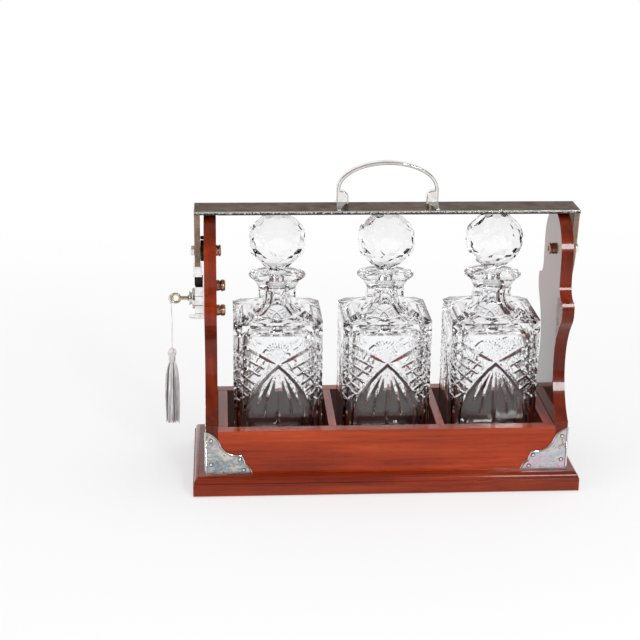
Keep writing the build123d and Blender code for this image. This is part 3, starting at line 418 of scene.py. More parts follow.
def cut_glass(name, waviness):
    """Clear lead glass, faintly wavy inside, whose shadow lets light through."""
    made = Finish(name, {"Transmission Weight": 1.0, "IOR": 1.53, "Roughness": 0.0})
    ripple = made.noise(made.place((75, 75, 40)), 1.0, 2.0, 0.5, 0.3)
    haze = made.noise(made.place((260, 260, 260)), 1.0, 3.0, 0.6, 0.0)
    made.put(made.ramp(haze, [(0.35, (0.965, 0.968, 0.975)), (0.7, (0.99, 0.99, 0.995))]), "Base Color")
    made.put(made.between(haze, 0.0, 0.03), "Roughness")
    made.put(made.bump(ripple, waviness, 0.8), "Normal")
    clear = made.nodes.new("ShaderNodeBsdfTransparent")
    clear.inputs["Color"].default_value = (0.80, 0.80, 0.81, 1)
    either = made.nodes.new("ShaderNodeMixShader")
    path = made.nodes.new("ShaderNodeLightPath")
    made.links.new(path.outputs["Is Shadow Ray"], either.inputs[0])
    made.links.new(made.shader.outputs["BSDF"], either.inputs[1])
    made.links.new(clear.outputs["BSDF"], either.inputs[2])
    made.links.new(either.outputs["Shader"], made.nodes["Material Output"].inputs["Surface"])
    return made.material


# painted light and shade for the uprights: darker low down and at the head, brightest near 225 mm
painted_light_by_height = [(0.06, 0.66), (0.10, 0.50), (0.14, 0.62), (0.19, 0.90), (0.225, 1.05), (0.245, 0.8), (0.262, 0.48)]
upright_wood = mahogany("mahogany_upright", "Z", 3.1, 0.78, 0.42, painted_light_by_height)
upright_wood_right = mahogany("mahogany_upright_right", "Z", 8.4, 0.78, 0.42, painted_light_by_height)
tray_half_width = min(abs(corner.y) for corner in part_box("front_rail")) / MM
# the rails' inner faces and the tray floor carry the patch of painted shade
long_wood = mahogany("mahogany_long", "X", 1.7, painted_shade_patch=(200, tray_half_width + 0.3))
base_wood = mahogany("mahogany_base", "X", 4.6, 0.70, painted_shade_patch=(158, tray_half_width))
cross_wood = mahogany("mahogany_cross", "Y", 5.2)
bar_plate = plate("plate_bar", (0.33, 0.29, 0.265), (0.17, 0.14, 0.12), 0.60, 1.0, 0.42, 17.3)
arm_plate = plate("plate_arm", (0.31, 0.22, 0.155), (0.15, 0.10, 0.065), 0.60, 1.0, 0.36)
worn_edge = plate("plate_worn_edge", (0.86, 0.84, 0.80), (0.10, 0.08, 0.06), 0.85, 3.4, 0.22)
bright_plate = plate("plate_bright", (0.80, 0.79, 0.77), (0.44, 0.40, 0.35), 0.35, 1.4, 0.18)
handle_plate = plate("plate_handle", (0.88, 0.86, 0.83), (0.50, 0.42, 0.35), 0.40, 1.6, 0.13)
case_plate = plate("plate_lock_case", (0.90, 0.89, 0.87), (0.42, 0.38, 0.33), 0.40, 1.8, 0.13)
left_patina = patina("patina_left", (0.70, 0.64, 0.56), (0.22, 0.31, 0.34), (0.50, 0.46, 0.50), (0.14, 0.15, 0.11), 2.3)
right_patina = patina("patina_right", (0.66, 0.60, 0.60), (0.44, 0.50, 0.56), (0.66, 0.46, 0.54), (0.34, 0.27, 0.19), 6.1)
mount_rim = plate("plate_mount_rim", (0.94, 0.92, 0.88), (0.42, 0.34, 0.27), 0.30, 3.0, 0.16)
tarnish_and_shade_line = plate("plate_tarnish_and_painted_shade", (0.13, 0.11, 0.09), (0.04, 0.03, 0.025), 0.60, 3.0, 0.36)
key_brass = brass("brass_key", (0.66, 0.56, 0.38), (0.36, 0.28, 0.17))
nut_brass = brass("brass_copper", (0.62, 0.38, 0.26), (0.30, 0.15, 0.09))
steel = dark_steel("steel_dark")
silk = thread("silk_silver", (0.95, 0.92, 0.92), (0.62, 0.58, 0.58))
# a dark copy of the silk: painted shade for the gaps between the tassel's threads
painted_shade_silk = thread("silk_painted_shade", (0.17, 0.15, 0.15), (0.05, 0.045, 0.045))
cloth = felt("felt_dark", (0.035, 0.050, 0.040))
body_glass = cut_glass("glass_decanter", 0.10)
stopper_glass = cut_glass("glass_stopper", 0.03)
plug_glass = ground_glass("glass_plug")

# ---------------------------------------------------------------- cord, loop and tassel
cord_low, cord_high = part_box("tassel_cord")
cord_x = (cord_low.x + cord_high.x) / 2
cord_y = (cord_low.y + cord_high.y) / 2
free_cord = cord_high.z - cord_low.z  # between the loop's knot and the tassel's head
hidden_cord = 24 * MM  # runs on through the head and is tied off among the threads
cord_length = free_cord + hidden_cord


def thread_curve(name, finish, radius, sides=2):
    """An empty curve that threads are added to."""
    line = bpy.data.curves.new(name, "CURVE")
    line.dimensions = "3D"
    line.bevel_depth = radius * MM
    line.bevel_resolution = sides
    line.resolution_u = 4
    line.use_fill_caps = True
    line.materials.append(finish)
    made = bpy.data.objects.new(name, line)
    scene.collection.objects.link(made)
    return made


def add_thread(line, points, closed=False):
    spline = line.splines.new("NURBS")
    spline.points.add(len(points) - 1)
    for point, place in zip(spline.points, points):
        point.co = (*place, 1)
    spline.use_cyclic_u = closed
    spline.order_u = 3
    spline.use_endpoint_u = not closed


def as_mesh_piece(curve_object):
    """The same piece with its curve turned into a mesh."""
    name = curve_object.name
    mesh = bpy.data.meshes.new_from_object(curve_object)
    bpy.data.objects.remove(curve_object)
    made = bpy.data.objects.new(name, mesh)
    mesh.polygons.foreach_set("use_smooth", [True] * len(mesh.polygons))
    scene.collection.objects.link(made)
    return made


cord = thread_curve("hanging_cord", silk, 0.5, 3)
cord_route = (  # how far it strays sideways, and how far along the free cord
    (0, 0, 0), (0.25, 0.1, 0.12), (0.5, 0.1, 0.36), (0.3, -0.1, 0.64), (0, 0, 0.88), (0, 0, 1),
)
cord_points = [
    (cord_x + dx * MM, cord_y + dy * MM, cord_high.z - free_cord * share)
    for dx, dy, share in cord_route
]
cord_points.append((cord_x, cord_y, cord_high.z - cord_length))
add_thread(cord.data, cord_points)
stand_for(cord, "tassel_cord")

# the loop passes through the key's bow and closes in a small wound knot
loop = thread_curve("bow_loop", silk, 0.48, 3)
bow_centre = Vector((cord_x, 0, (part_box("tassel_loop")[1].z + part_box("tassel_loop")[0].z) / 2))
knot_low, loop_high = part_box("tassel_loop")
knot_z = knot_low.z + 1.2 * MM
key_axis_z = knot_z - cord_y + 0.6 * MM
lean = Vector((0, sqrt(0.5), sqrt(0.5)))
loop_points = []
for turn in range(12):
    angle = 2 * pi * turn / 12
    swing = 2.2 * MM * sin(angle) * 1.04
    reach = 4.0 * MM * cos(angle) * 1.03
    loop_points.append(Vector((cord_x + swing, 0, key_axis_z)) + lean * reach)
add_thread(loop.data, loop_points, closed=True)
knot_points = []
for step in range(31):
    angle = 2 * pi * step / 8
    knot_points.append((
        cord_x + 0.72 * MM * cos(angle),
        cord_y + 0.72 * MM * sin(angle),
        knot_z + (0.9 - 1.8 * step / 30) * MM,
    ))
add_thread(loop.data, knot_points)
loop = stand_for(as_mesh_piece(loop), "tassel_loop")

head_low, head_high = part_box("tassel_head")
neck_height = 4.5 * MM
knob_height = head_high.z - head_low.z - neck_height


def ring_of(bm, radius, thick, x, y, z, sides=8, steps=40):
    """A wound ring of cord about an upright axis."""
    turn = Matrix.Translation((x + radius, y, z)) @ Matrix.Rotation(pi / 2, 4, "X")
    round_section = bmesh.ops.create_circle(bm, segments=sides, radius=thick, matrix=turn)
    edges = list({edge for vert in round_section["verts"] for edge in vert.link_edges})
    bmesh.ops.spin(
        bm, geom=round_section["verts"] + edges, cent=(x, y, z), axis=(0, 0, 1), angle=2 * pi,
        steps=steps, use_merge=True,
    )


knob = bmesh.new()
profile = [(0.5, 0), (1.4, -0.15), (2.6, -0.9), (3.7, -2.3), (4.25, -4.3), (4.1, -6.0), (3.4, -7.9), (2.8, -9.4), (2.5, -11.6), (2.55, -14.0), (0.4, -14.0)]
verts = [knob.verts.new((cord_x + r * MM, cord_y, head_high.z + z * MM)) for r, z in profile]
edges = [knob.edges.new(pair) for pair in zip(verts, verts[1:])]
bmesh.ops.spin(knob, geom=verts + edges, cent=(cord_x, cord_y, 0), axis=(0, 0, 1), angle=2 * pi, steps=144, use_merge=True)
bmesh.ops.remove_doubles(knob, verts=knob.verts, dist=1e-6)
bmesh.ops.holes_fill(knob, edges=knob.edges, sides=0)
bmesh.ops.recalc_face_normals(knob, faces=knob.faces)
for vert in knob.verts:
    out = Vector((vert.co.x - cord_x, vert.co.y - cord_y, 0))
    if out.length > 1.2 * MM and vert.co.z > head_high.z - 9.0 * MM:
        lobe = 1 + 0.045 * cos(36 * out.angle(Vector((1, 0, 0))))
        vert.co.x = cord_x + out.x * lobe
        vert.co.y = cord_y + out.y * lobe
for turn in range(5):
    ring_of(knob, 2.75 * MM, 0.52 * MM, cord_x, cord_y, head_high.z - (9.9 + 0.92 * turn) * MM)
tassel_head = stand_for(as_object(knob, "wound_head", silk, 60), "tassel_head")

skirt_low, skirt_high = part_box("tassel_skirt")
strand_count = 96
skirt = thread_curve("thread_skirt", silk, 0.48, 1)
skirt.data.materials.append(painted_shade_silk)
skirt.data.resolution_u = 3
shake = Random(11)
skirt_drop = skirt_high.z - skirt_low.z
skirt_flare = ((0, 0.34), (0.05, 0.52), (0.14, 0.78), (0.38, 0.97), (0.70, 1.0), (1.0, 0.96))
for strand in range(strand_count):
    angle = strand * 2.39996
    rank = sqrt((strand + 0.5) / strand_count)
    fold = 1 + 0.10 * cos(9 * angle)
    reach = (7.0 * rank * fold + shake.uniform(-0.5, 0.5)) * MM
    drop = skirt_drop - min(abs(shake.gauss(0, 3.4)), 9.0) * MM
    curl = shake.uniform(-1.2, 1.2) * MM
    line = []
    for share, flare in skirt_flare:
        out = reach * flare
        side = curl * sin(pi * share * 1.6)
        line.append((
            cord_x + out * cos(angle) - side * sin(angle) - 0.5 * MM * share,
            cord_y + out * sin(angle) + side * cos(angle),
            skirt_high.z - drop * share,
        ))
    add_thread(skirt.data, line)
    # two strands in seven take the dark silk: painted shade between the threads
    skirt.data.splines[-1].material_index = strand % 7 in (1, 4)
skirt = stand_for(as_mesh_piece(skirt), "tassel_skirt")
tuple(cord_points[0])

# ---------------------------------------------------------------- wood
for node in ("front_rail", "back_rail"):
    eased(node, long_wood, 0.7)
eased("plinth", base_wood, 0.45)
for node in ("left_end_board", "right_end_board", "left_divider", "right_divider"):
    eased(node, cross_wood, 0.7)
eased("left_end_panel", upright_wood, 1.5, 4)
eased("right_end_panel", upright_wood_right, 1.5, 4)

# ---------------------------------------------------------------- metalwork
eased("locking_bar", bar_plate, 0.7, 2, 30, worn_edge)
eased("left_arm", arm_plate, 0.5, 2, 30, worn_edge)
eased("right_arm", arm_plate, 0.5, 2, 30, worn_edge)
eased("striker", case_plate, 1.0, 4)
eased("carrying_handle", handle_plate, 1.0, 4, 24)
eased("lock_backplate", case_plate, 0.4)
# the three dark bands across the lock case are painted shade of grooves between its parts
eased("lock_case", case_plate, 1.3, 4, painted_groove_shade=((171.0, 0.4), (179.6, 0.6), (189.0, 0.4)))
eased("lock_foot_plate", case_plate, 0.5, 3)
eased("bolt_guide", steel, 0.3)
for side in ("left", "right"):
    eased(side + "_pivot_bolt", bright_plate, 0.25)
    eased(side + "_pivot_nut", nut_brass, 0.15)
    eased(side + "_pivot_washer", steel, 0.2)
    dressed(side + "_spacer_stud", steel)
eased("lock_nuts", nut_brass, 0.15)
eased("lock_plug", bright_plate, 0.15)
eased("key", key_brass, 0.2)
eased("lock_bolt", steel, 0.2)
dressed("lock_studs", key_brass)
dressed("arm_rivets", bar_plate)
dressed("handle_screws", steel)
dressed("plinth_screws", steel)


def outlines(faces, inward):
    """The points round a flat region of faces, loop by loop, moved inward in its plane."""
    region = set(faces)
    following = {}
    for face in faces:
        for loop in face.loops:
            if len(region.intersection(loop.edge.link_faces)) == 1:
                following[loop.vert] = loop.link_loop_next.vert
    while following:
        ring = [next(iter(following))]
        while ring[-1] in following:
            ring.append(following.pop(ring[-1]))
        points = [vert.co.copy() for vert in ring[1:]]
        points = [p for p, q in zip(points, points[1:] + points[:1]) if (p - q).length > 0.15 * MM]
        if len(points) < 8:
            continue
        moved = []
        for before, here, after in zip(points[-1:] + points[:-1], points, points[1:] + points[:1]):
            first = faces[0].normal.cross((here - before).normalized())
            second = faces[0].normal.cross((after - here).normalized())
            bisector = (first + second).normalized()
            moved.append(here + bisector * inward / max(bisector.dot(first), 0.5))
        yield moved


def islands(node):
    """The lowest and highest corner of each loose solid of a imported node."""
    bm = merged_copy(node)
    waiting = set(bm.verts)
    while waiting:
        reached = [waiting.pop()]
        for vert in reached:
            for edge in vert.link_edges:
                other = edge.other_vert(vert)
                if other in waiting:
                    waiting.discard(other)
                    reached.append(other)
        yield [Vector(pick(vert.co[axis] for vert in reached) for axis in range(3)) for pick in (min, max)]
    bm.free()


def make_mount(node, pins, finish):
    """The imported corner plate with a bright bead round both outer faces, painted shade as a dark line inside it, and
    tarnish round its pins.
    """
    low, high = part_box(node)
    bm = merged_copy(node)
    pin_boxes = list(islands(pins))
    beads = thread_curve("beads_of_" + node, mount_rim, BEAD, 2)
    # a thin dark tube inside each bead: painted shade beside the bead, in the pins' tarnish finish
    lines = thread_curve("painted_shade_of_" + node, tarnish_and_shade_line, SHADE_LINE, 1)
    for axis in (0, 1):
        outward = 1 if low[axis] + high[axis] > 0 else -1
        plane = high[axis] if outward > 0 else low[axis]
        outer = [
            face for face in bm.faces
            if face.normal[axis] * outward > 0.99 and abs(face.calc_center_median()[axis] - plane) < 0.1 * MM
        ]
        for curve, inward in ((beads, BEAD), (lines, 2 * BEAD + SHADE_LINE)):
            for points in outlines(outer, inward * MM):
                spline = curve.data.splines.new("POLY")
                spline.points.add(len(points) - 1)
                for point, place in zip(spline.points, points):
                    point.co = (*place, 1)
                spline.use_cyclic_u = True
        for pin_low, pin_high in pin_boxes:
            beyond = pin_high[axis] - plane if outward > 0 else plane - pin_low[axis]
            if beyond < 0.2 * MM:
                continue
            centre = (pin_low + pin_high) / 2
            centre[axis] = plane + outward * 0.08 * MM
            across = (pin_high.z - pin_low.z) / 2
            facing = Vector((outward, 0, 0)) if axis == 0 else Vector((0, outward, 0))
            before = set(bm.faces)
            bmesh.ops.create_cone(
                bm, cap_ends=True, segments=24, radius1=across + 0.8 * MM, radius2=across + 0.35 * MM, depth=0.3 * MM,
                matrix=Matrix.Translation(centre) @ facing.to_track_quat("Z", "Y").to_matrix().to_4x4(),
            )
            for face in set(bm.faces) - before:
                face.material_index = 2
    for index, curve in ((1, beads), (2, lines)):
        tube = bpy.data.meshes.new_from_object(curve)
        bpy.data.objects.remove(curve)
        for polygon in tube.polygons:
            polygon.material_index = index
        bm.from_mesh(tube)
        bpy.data.meshes.remove(tube)
    piece = as_object(bm, "rimmed_" + node, finish)
    piece.data.materials.append(mount_rim)
    piece.data.materials.append(tarnish_and_shade_line)
    return stand_for(piece, node)


BEAD, SHADE_LINE = 0.55, 0.28  # radii of the bead and of the dark line inside it, which is painted shade beside the bead, in millimetres
for corner, finish in (
    ("front_left", left_patina), ("front_right", right_patina),
    ("back_left", right_patina), ("back_right", left_patina),
):
    make_mount(corner + "_mount", corner + "_pins", finish)
    eased(corner + "_pins", bright_plate, 0.12, 2)


# ---------------------------------------------------------------- cloth
def cloth_sheet(name, node):
    """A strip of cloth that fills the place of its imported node."""
    low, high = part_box(node)
    bm = bmesh.new()
    bmesh.ops.create_grid(bm, x_segments=120, y_segments=24, size=0.5)
    middle = (low + high) / 2
    bmesh.ops.scale(bm, verts=bm.verts, vec=(high.x - low.x, high.y - low.y, 1))
    bmesh.ops.translate(bm, verts=bm.verts, vec=middle)
    piece = as_object(bm, name, cloth)
    thick = piece.modifiers.new("thickness", "SOLIDIFY")
    thick.thickness = high.z - low.z
    thick.offset = 0
    stand_for(piece, node)


cloth_sheet("bar_cloth", "bar_lining")
cloth_sheet("underside_cloth", "baize_underside")

# ---------------------------------------------------------------- cut-glass decanters
SIDE = 44.0  # half width of the body, in millimetres
CHAMFER = 8.6
FLAT = SIDE - CHAMFER
HALF_CHAMFER = CHAMFER * sqrt(0.5)
FOOT, CUT_FOOT, EDGE, NECK = 20.0, 54.0, 169.0, 183.5
EYE = 128.0  # height of the point that every cut starts from

# each cut: path over half a face (across from its middle, up from the eye), half width, depth, leaf-shaped
face_cuts = [
    ([(0, 0), (9, -8), (18.5, -19), (26, -30), (30.5, -41), (32.5, -52), (33, -72)], 2.8, 1.9, False),
    ([(0, 0), (19, 11.5), (37.5, 23)], 3.1, 2.0, True),
    ([(0, -8), (0, -66)], 3.2, 2.0, True),
    ([(2.6, -9), (14.5, -55)], 3.0, 2.0, True),
    ([(5.2, -10), (22, -43)], 2.8, 1.9, True),
]
face_cuts += [([start, end], 1.6, 1.05, False) for start, end in (
    ((14.8, -3.1), (37, 10)), ((19, -10.6), (41.4, 4)), ((23.2, -19.4), (41.4, -5.6)),
    ((27.5, -27), (41.4, -14.5)), ((31.5, -32), (41.4, -24)), ((17.2, 0.6), (41.4, -24)),
    ((26.7, 6.9), (41.4, -8)), ((35, 15), (41.4, 8)), ((31, -32), (41.4, -39)),
)]
for slant in (3.5, 10.5, 17.5, 24.5, 31.5):
    ray = (sin(radians(slant)), cos(radians(slant)))
    face_cuts.append(([(ray[0] * 7, ray[1] * 7), (ray[0] * 27, ray[1] * 27)], 1.0, 0.26, True))


def cut_field(u, v, cuts):
    """How deep the cuts go at each place of half a face."""
    depth = np.zeros_like(u)
    for path, half, deep, leaf in cuts:
        spans = [np.hypot(b[0] - a[0], b[1] - a[1]) for a, b in zip(path, path[1:])]
        done = 0.0
        for (a, b), span in zip(zip(path, path[1:]), spans):
            t = np.clip(((u - a[0]) * (b[0] - a[0]) + (v - a[1]) * (b[1] - a[1])) / span**2, 0, 1)
            away = np.hypot(u - a[0] - t * (b[0] - a[0]), v - a[1] - t * (b[1] - a[1]))
            share = (done + t * span) / sum(spans)
            if leaf:
                width = half * np.clip(np.sin(pi * share), 0.02, 1) ** 0.62
            else:
                width = half * np.clip(12 * (1 - share), 0.05, 1)
            depth = np.maximum(depth, deep * width / half * np.clip(1 - away / width, 0, 1))
            done += span
    return depth


def drawn_to_cuts(u, v, cuts, near):
    """Places close to a cut's middle line are moved onto it, so that its valley is one clean edge."""
    for path, half, deep, leaf in cuts:
        for a, b in zip(path, path[1:]):
            span = np.hypot(b[0] - a[0], b[1] - a[1])
            t = ((u - a[0]) * (b[0] - a[0]) + (v - a[1]) * (b[1] - a[1])) / span**2
            foot_u = a[0] + t * (b[0] - a[0])
            foot_v = a[1] + t * (b[1] - a[1])
            close = (np.hypot(u - foot_u, v - foot_v) < near) & (t > 0) & (t < 1)
            u = np.where(close, foot_u, u)
            v = np.where(close, foot_v, v)
    return u, v


def octagon_place(u, half, corner):
    """Place on one side of an eight-sided outline, u running from its middle to half the corner."""
    flat = half - corner
    over = np.clip((np.abs(u) - FLAT) / HALF_CHAMFER, 0, 1)
    on_flat = np.clip(np.abs(u) / FLAT, 0, 1)
    x = np.sign(u) * (on_flat * flat + over * corner / 2)
    return x, -(half - over * corner / 2)


def rounded_square(cx, cy, half, round_corner):
    """Distance to a square with rounded corners in a given direction."""
    a, b = np.abs(cx), np.abs(cy)
    straight = half / np.maximum(a, b)
    middle = half - round_corner
    lean = (a + b) * middle
    arc = lean + np.sqrt(np.maximum(lean**2 - 2 * middle**2 + round_corner**2, 0))
    return np.where(np.minimum(a, b) * straight > middle, arc, straight)


flat_steps, corner_steps, plain_steps, cut_steps, shoulder_steps = 88, 12, 12, 150, 20
body_levels = [FOOT + 1.5 + (CUT_FOOT - FOOT - 1.5) * n / plain_steps for n in range(plain_steps)]
body_levels += [CUT_FOOT + (EDGE - CUT_FOOT) * n / cut_steps for n in range(cut_steps + 1)]
column = []  # (side, place across it) of each upright line of the body
for side in range(4):
    column += [(side, -FLAT + 2 * FLAT * n / flat_steps) for n in range(flat_steps)]
    for n in range(corner_steps):
        over = 2 * HALF_CHAMFER * n / corner_steps
        if n * 2 <= corner_steps:
            column.append((side, FLAT + over))
        else:
            column.append((side + 1, over - 2 * HALF_CHAMFER - FLAT))
column.append((4, -FLAT))
sides = np.array([c[0] for c in column])
across = np.array([c[1] for c in column])


def turned_to_side(x, y):
    return x * np.cos(sides * pi / 2) - y * np.sin(sides * pi / 2), x * np.sin(sides * pi / 2) + y * np.cos(sides * pi / 2)


def decanter_rows():
    """Every row of the decanter from its foot over the lip and down inside, as x, y, z arrays."""
    rows = []
    kept = (np.abs(np.abs(across) - FLAT) < 0.3) | (np.abs(across) > FLAT + HALF_CHAMFER - 0.3) | (np.abs(across) < 0.1)
    for inset, z in ((30.0, FOOT), (10.0, FOOT), (1.5, FOOT), (0.6, FOOT + 0.5)):
        x, y = turned_to_side(*octagon_place(across, SIDE - inset, CHAMFER * (1 - inset / SIDE)))
        rows.append((x, y, np.full_like(x, z), None))
    for z in body_levels:
        v = np.full_like(across, z - EYE)
        u = np.abs(across)
        if CUT_FOOT < z < EDGE:
            moved_u, moved_v = drawn_to_cuts(u, v, face_cuts, 0.38)
            u = np.where(kept, u, moved_u)
            v = moved_v
        x, y = octagon_place(np.sign(across) * u, SIDE, CHAMFER)
        x, y = turned_to_side(x, y)
        depth = cut_field(u, v, face_cuts) if CUT_FOOT < z < EDGE else None
        rows.append((x, y, v + EYE, depth))
    top = 19.0
    top_corner = top * (1 - np.tan(pi / 8))
    for n in range(1, shoulder_steps + 1):
        share = 1 - (n + 0.45) / (shoulder_steps + 0.45)
        half = top + (SIDE - top) * share**1.9
        corner = top_corner + (CHAMFER - top_corner) * share**1.9
        x, y = turned_to_side(*octagon_place(across, half, corner))
        rows.append((x, y, np.full_like(x, EDGE + (NECK - EDGE) * (1 - share)), None))
    for z in (185.0, 187.5, 190.0, 192.5, 194.6, 195.2):
        waist = 18.2 if 186 < z < 194 else 18.7
        x, y = turned_to_side(*octagon_place(across, waist, waist * (1 - np.tan(pi / 8))))
        rows.append((x, y, np.full_like(x, z), None))
    reach = np.hypot(x, y)
    cx, cy = x / reach, y / reach
    lip = [(19.0, 196.0), (20.6, 198.6), (23.0, 202.0), (25.7, 205.2), (27.6, 207.0), (28.15, 207.5), (28.3, 208.0)]
    lip += [(28.15, 208.6), (27.6, 209.0), (24.5, 209.35), (19.5, 209.75), (14.0, 210.1), (11.2, 210.2), (9.6, 210.2), (8.9, 209.9)]
    bore = [(8.65, 206.0), (8.2, 200.0), (7.75, 193.0), (7.6, 188.0), (7.7, 185.2), (8.6, 182.3), (10.0, 178.4), (11.8, 174.2), (13.8, 169.8), (16.4, 165.0), (18.8, 161.6), (21.0, 160.3)]
    for radius, z in lip + bore:
        rows.append((cx * radius, cy * radius, np.full_like(cx, z), None))
    for turn in range(0, 8):
        angle = turn * pi / 14
        inset = 12.0 * (1 - sin(angle))
        r = rounded_square(cx, cy, 36.5 - inset, max(14.0 - inset, 2.2))
        rows.append((cx * r, cy * r, np.full_like(cx, 148.0 + 12.0 * cos(angle)), None))
    for half, z in ((36.5, 110.0), (36.5, 72.0), (36.5, 40.0), (36.3, 35.0), (35.2, 32.6), (33.0, 31.4), (29.0, 31.0), (12.0, 30.7), (4.0, 30.6)):
        r = rounded_square(cx, cy, half, min(14.0, half * 0.6))
        rows.append((cx * r, cy * r, np.full_like(cx, z), None))
    return rows


def make_decanter_mesh():
    """A grid wrapped round the decanter, outside and inside, with its cuts ground in."""
    rows = decanter_rows()
    across_count, up_count = len(column), len(rows)
    bm = bmesh.new()
    bmesh.ops.create_grid(bm, x_segments=across_count - 1, y_segments=up_count - 1, size=1.0)
    places = np.array([vert.co for vert in bm.verts])
    i = np.rint((places[:, 0] + 1) / 2 * (across_count - 1)).astype(int)
    j = np.rint((places[:, 1] + 1) / 2 * (up_count - 1)).astype(int)
    x = np.array([row[0] for row in rows])[j, i]
    y = np.array([row[1] for row in rows])[j, i]
    z = np.array([row[2] for row in rows])[j, i]
    deep = np.array([np.zeros(across_count) if row[3] is None else row[3] for row in rows])[j, i]
    for vert, px, py, pz in zip(bm.verts, x, y, z):
        vert.co = (px * MM, py * MM, pz * MM)
    bm.normal_update()
    outward = np.array([vert.normal for vert in bm.verts])
    radial = outward[:, 0] * x + outward[:, 1] * y
    outside = (j > 6) & (j < plain_steps + cut_steps)
    if radial[outside].mean() < 0:
        outward = -outward
    sunk = np.array([vert.co for vert in bm.verts]) - outward * deep[:, None] * MM
    for vert, place in zip(bm.verts, sunk):
        vert.co = place
    bmesh.ops.remove_doubles(bm, verts=bm.verts, dist=1e-6)
    bmesh.ops.holes_fill(bm, edges=[e for e in bm.edges if e.is_boundary], sides=0)
    bmesh.ops.recalc_face_normals(bm, faces=bm.faces)
    mesh = bpy.data.meshes.new("decanter")
    bm.to_mesh(mesh)
    bm.free()
    mesh.polygons.foreach_set("use_smooth", [True] * len(mesh.polygons))
    mesh.set_sharp_from_angle(angle=radians(11))
    mesh.materials.append(body_glass)
    return mesh


# further rings of facets on the ball: degrees above level, turn in facets, distance from its middle
BALL_MIDDLE, BALL_FOOT, FACETS, PLUG_GROUND = 243.507, 214.74, 8, 18.0
small_facets = ((0, 0.5, 28.5), (17, 0.5, 28.5), (-17, 0.5, 28.5), (27, 0, 28.4), (-27, 0, 28.4), (46, 0, 27.75), (66, 0, 28.2))


def make_stopper(node):
    """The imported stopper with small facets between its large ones, and its plug ground."""
    low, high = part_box(node)
    middle = Vector(((low.x + high.x) / 2, 0, BALL_MIDDLE * MM))
    bm = merged_copy(node)
    for height, phase, reach in small_facets:
        for k in range(FACETS):
            up, turn = radians(height), 2 * pi * (k + phase) / FACETS
            out = Vector((cos(up) * cos(turn), cos(up) * sin(turn), sin(up)))
            faces = [face for face in bm.faces if all(vert.co.z > (BALL_FOOT - 0.1) * MM for vert in face.verts)]
            edges = {edge for face in faces for edge in face.edges}
            verts = {vert for face in faces for vert in face.verts}
            bmesh.ops.bisect_plane(
                bm, geom=list(verts) + list(edges) + faces, dist=1e-6,
                plane_co=middle + out * reach * MM, plane_no=out, clear_outer=True,
            )
            bmesh.ops.holes_fill(bm, edges=[edge for edge in bm.edges if edge.is_boundary], sides=0)
    bmesh.ops.bisect_plane(
        bm, geom=bm.verts[:] + bm.edges[:] + bm.faces[:], dist=1e-6,
        plane_co=(0, 0, low.z + 12 * MM), plane_no=(0, 0, 1),
    )
    bmesh.ops.recalc_face_normals(bm, faces=bm.faces)
    for face in bm.faces:
        if 12 * MM < face.calc_center_median().z - low.z < PLUG_GROUND * MM:
            face.material_index = 1
    piece = as_object(bm, "facetted_" + node, stopper_glass, 5)
    piece.data.materials.append(plug_glass)
    ease_arrises(piece, 0.25, 2, 5)
    return stand_for(piece, node)


first = make_decanter_mesh()
for place in ("left", "centre", "right"):
    low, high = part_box("decanter_" + place)
    mesh = first.copy()
    mesh.transform(Matrix.Translation(((low.x + high.x) / 2, 0, 0)))
    piece = bpy.data.objects.new("cut_decanter_" + place, mesh)
    scene.collection.objects.link(piece)
    stand_for(piece, "decanter_" + place)
    make_stopper("stopper_" + place)
bpy.data.meshes.remove(first)


# ---------------------------------------------------------------- stage and light
def plain_stage(name, colour):
    made = Finish(name, {"Roughness": 0.7, "Specular IOR Level": 0.2})
    made.put(made.ramp(made.noise(made.place((3, 3, 3)), 1.0, 2.0), [(0.3, colour), (0.7, colour)]), "Base Color")
    return made


floor_finish = plain_stage("floor", (0.88, 0.875, 0.885))
bm = bmesh.new()
bmesh.ops.create_grid(bm, x_segments=2, y_segments=2, size=1.0)
bmesh.ops.scale(bm, verts=bm.verts, vec=(7.0, 4.6, 1))
bmesh.ops.translate(bm, verts=bm.verts, vec=(0, -1.2, 0))
far_edge = [edge for edge in bm.edges if all(vert.co.y > 3.3 for vert in edge.verts)]
for rise in range(1, 9):
    angle = rise * pi / 16
    grown = bmesh.ops.extrude_edge_only(bm, edges=far_edge)["geom"]
    far_edge = [item for item in grown if isinstance(item, bmesh.types.BMEdge)]
    for vert in {vert for edge in far_edge for vert in edge.verts}:
        vert.co.y = 3.4 + 0.5 * sin(angle)
        vert.co.z = 0.5 * (1 - cos(angle))
grown = bmesh.ops.extrude_edge_only(bm, edges=far_edge)["geom"]
bmesh.ops.translate(bm, verts=[item for item in grown if isinstance(item, bmesh.types.BMVert)], vec=(0, 0, 0.35))
stage = as_object(bm, "floor_and_backdrop", floor_finish.material, 60)

# the far part of the sweep is plain white to the camera, to glass and to metal
glow = floor_finish.nodes.new("ShaderNodeEmission")
glow.inputs["Color"].default_value = (1, 1, 1, 1)
either = floor_finish.nodes.new("ShaderNodeMixShader")
light_path = floor_finish.nodes.new("ShaderNodeLightPath")
seen = floor_finish.sum("MAXIMUM", light_path.outputs["Is Camera Ray"], light_path.outputs["Is Glossy Ray"])
seen = floor_finish.sum("MAXIMUM", seen, light_path.outputs["Is Transmission Ray"])
apart = floor_finish.nodes.new("ShaderNodeSeparateXYZ")
floor_finish.links.new(floor_finish.place(), apart.inputs[0])
fade = floor_finish.nodes.new("ShaderNodeMapRange")
fade.interpolation_type = "SMOOTHSTEP"
floor_finish.links.new(apart.outputs["Y"], fade.inputs["Value"])
fade.inputs["From Min"].default_value = -0.2
fade.inputs["From Max"].default_value = 1.0
fade.inputs["To Min"].default_value = 0.5
far = floor_finish.nodes.new("ShaderNodeMapRange")  # to glossy rays the floor turns black a little way before the camera: a painted dark reflection
far.interpolation_type = "SMOOTHSTEP"
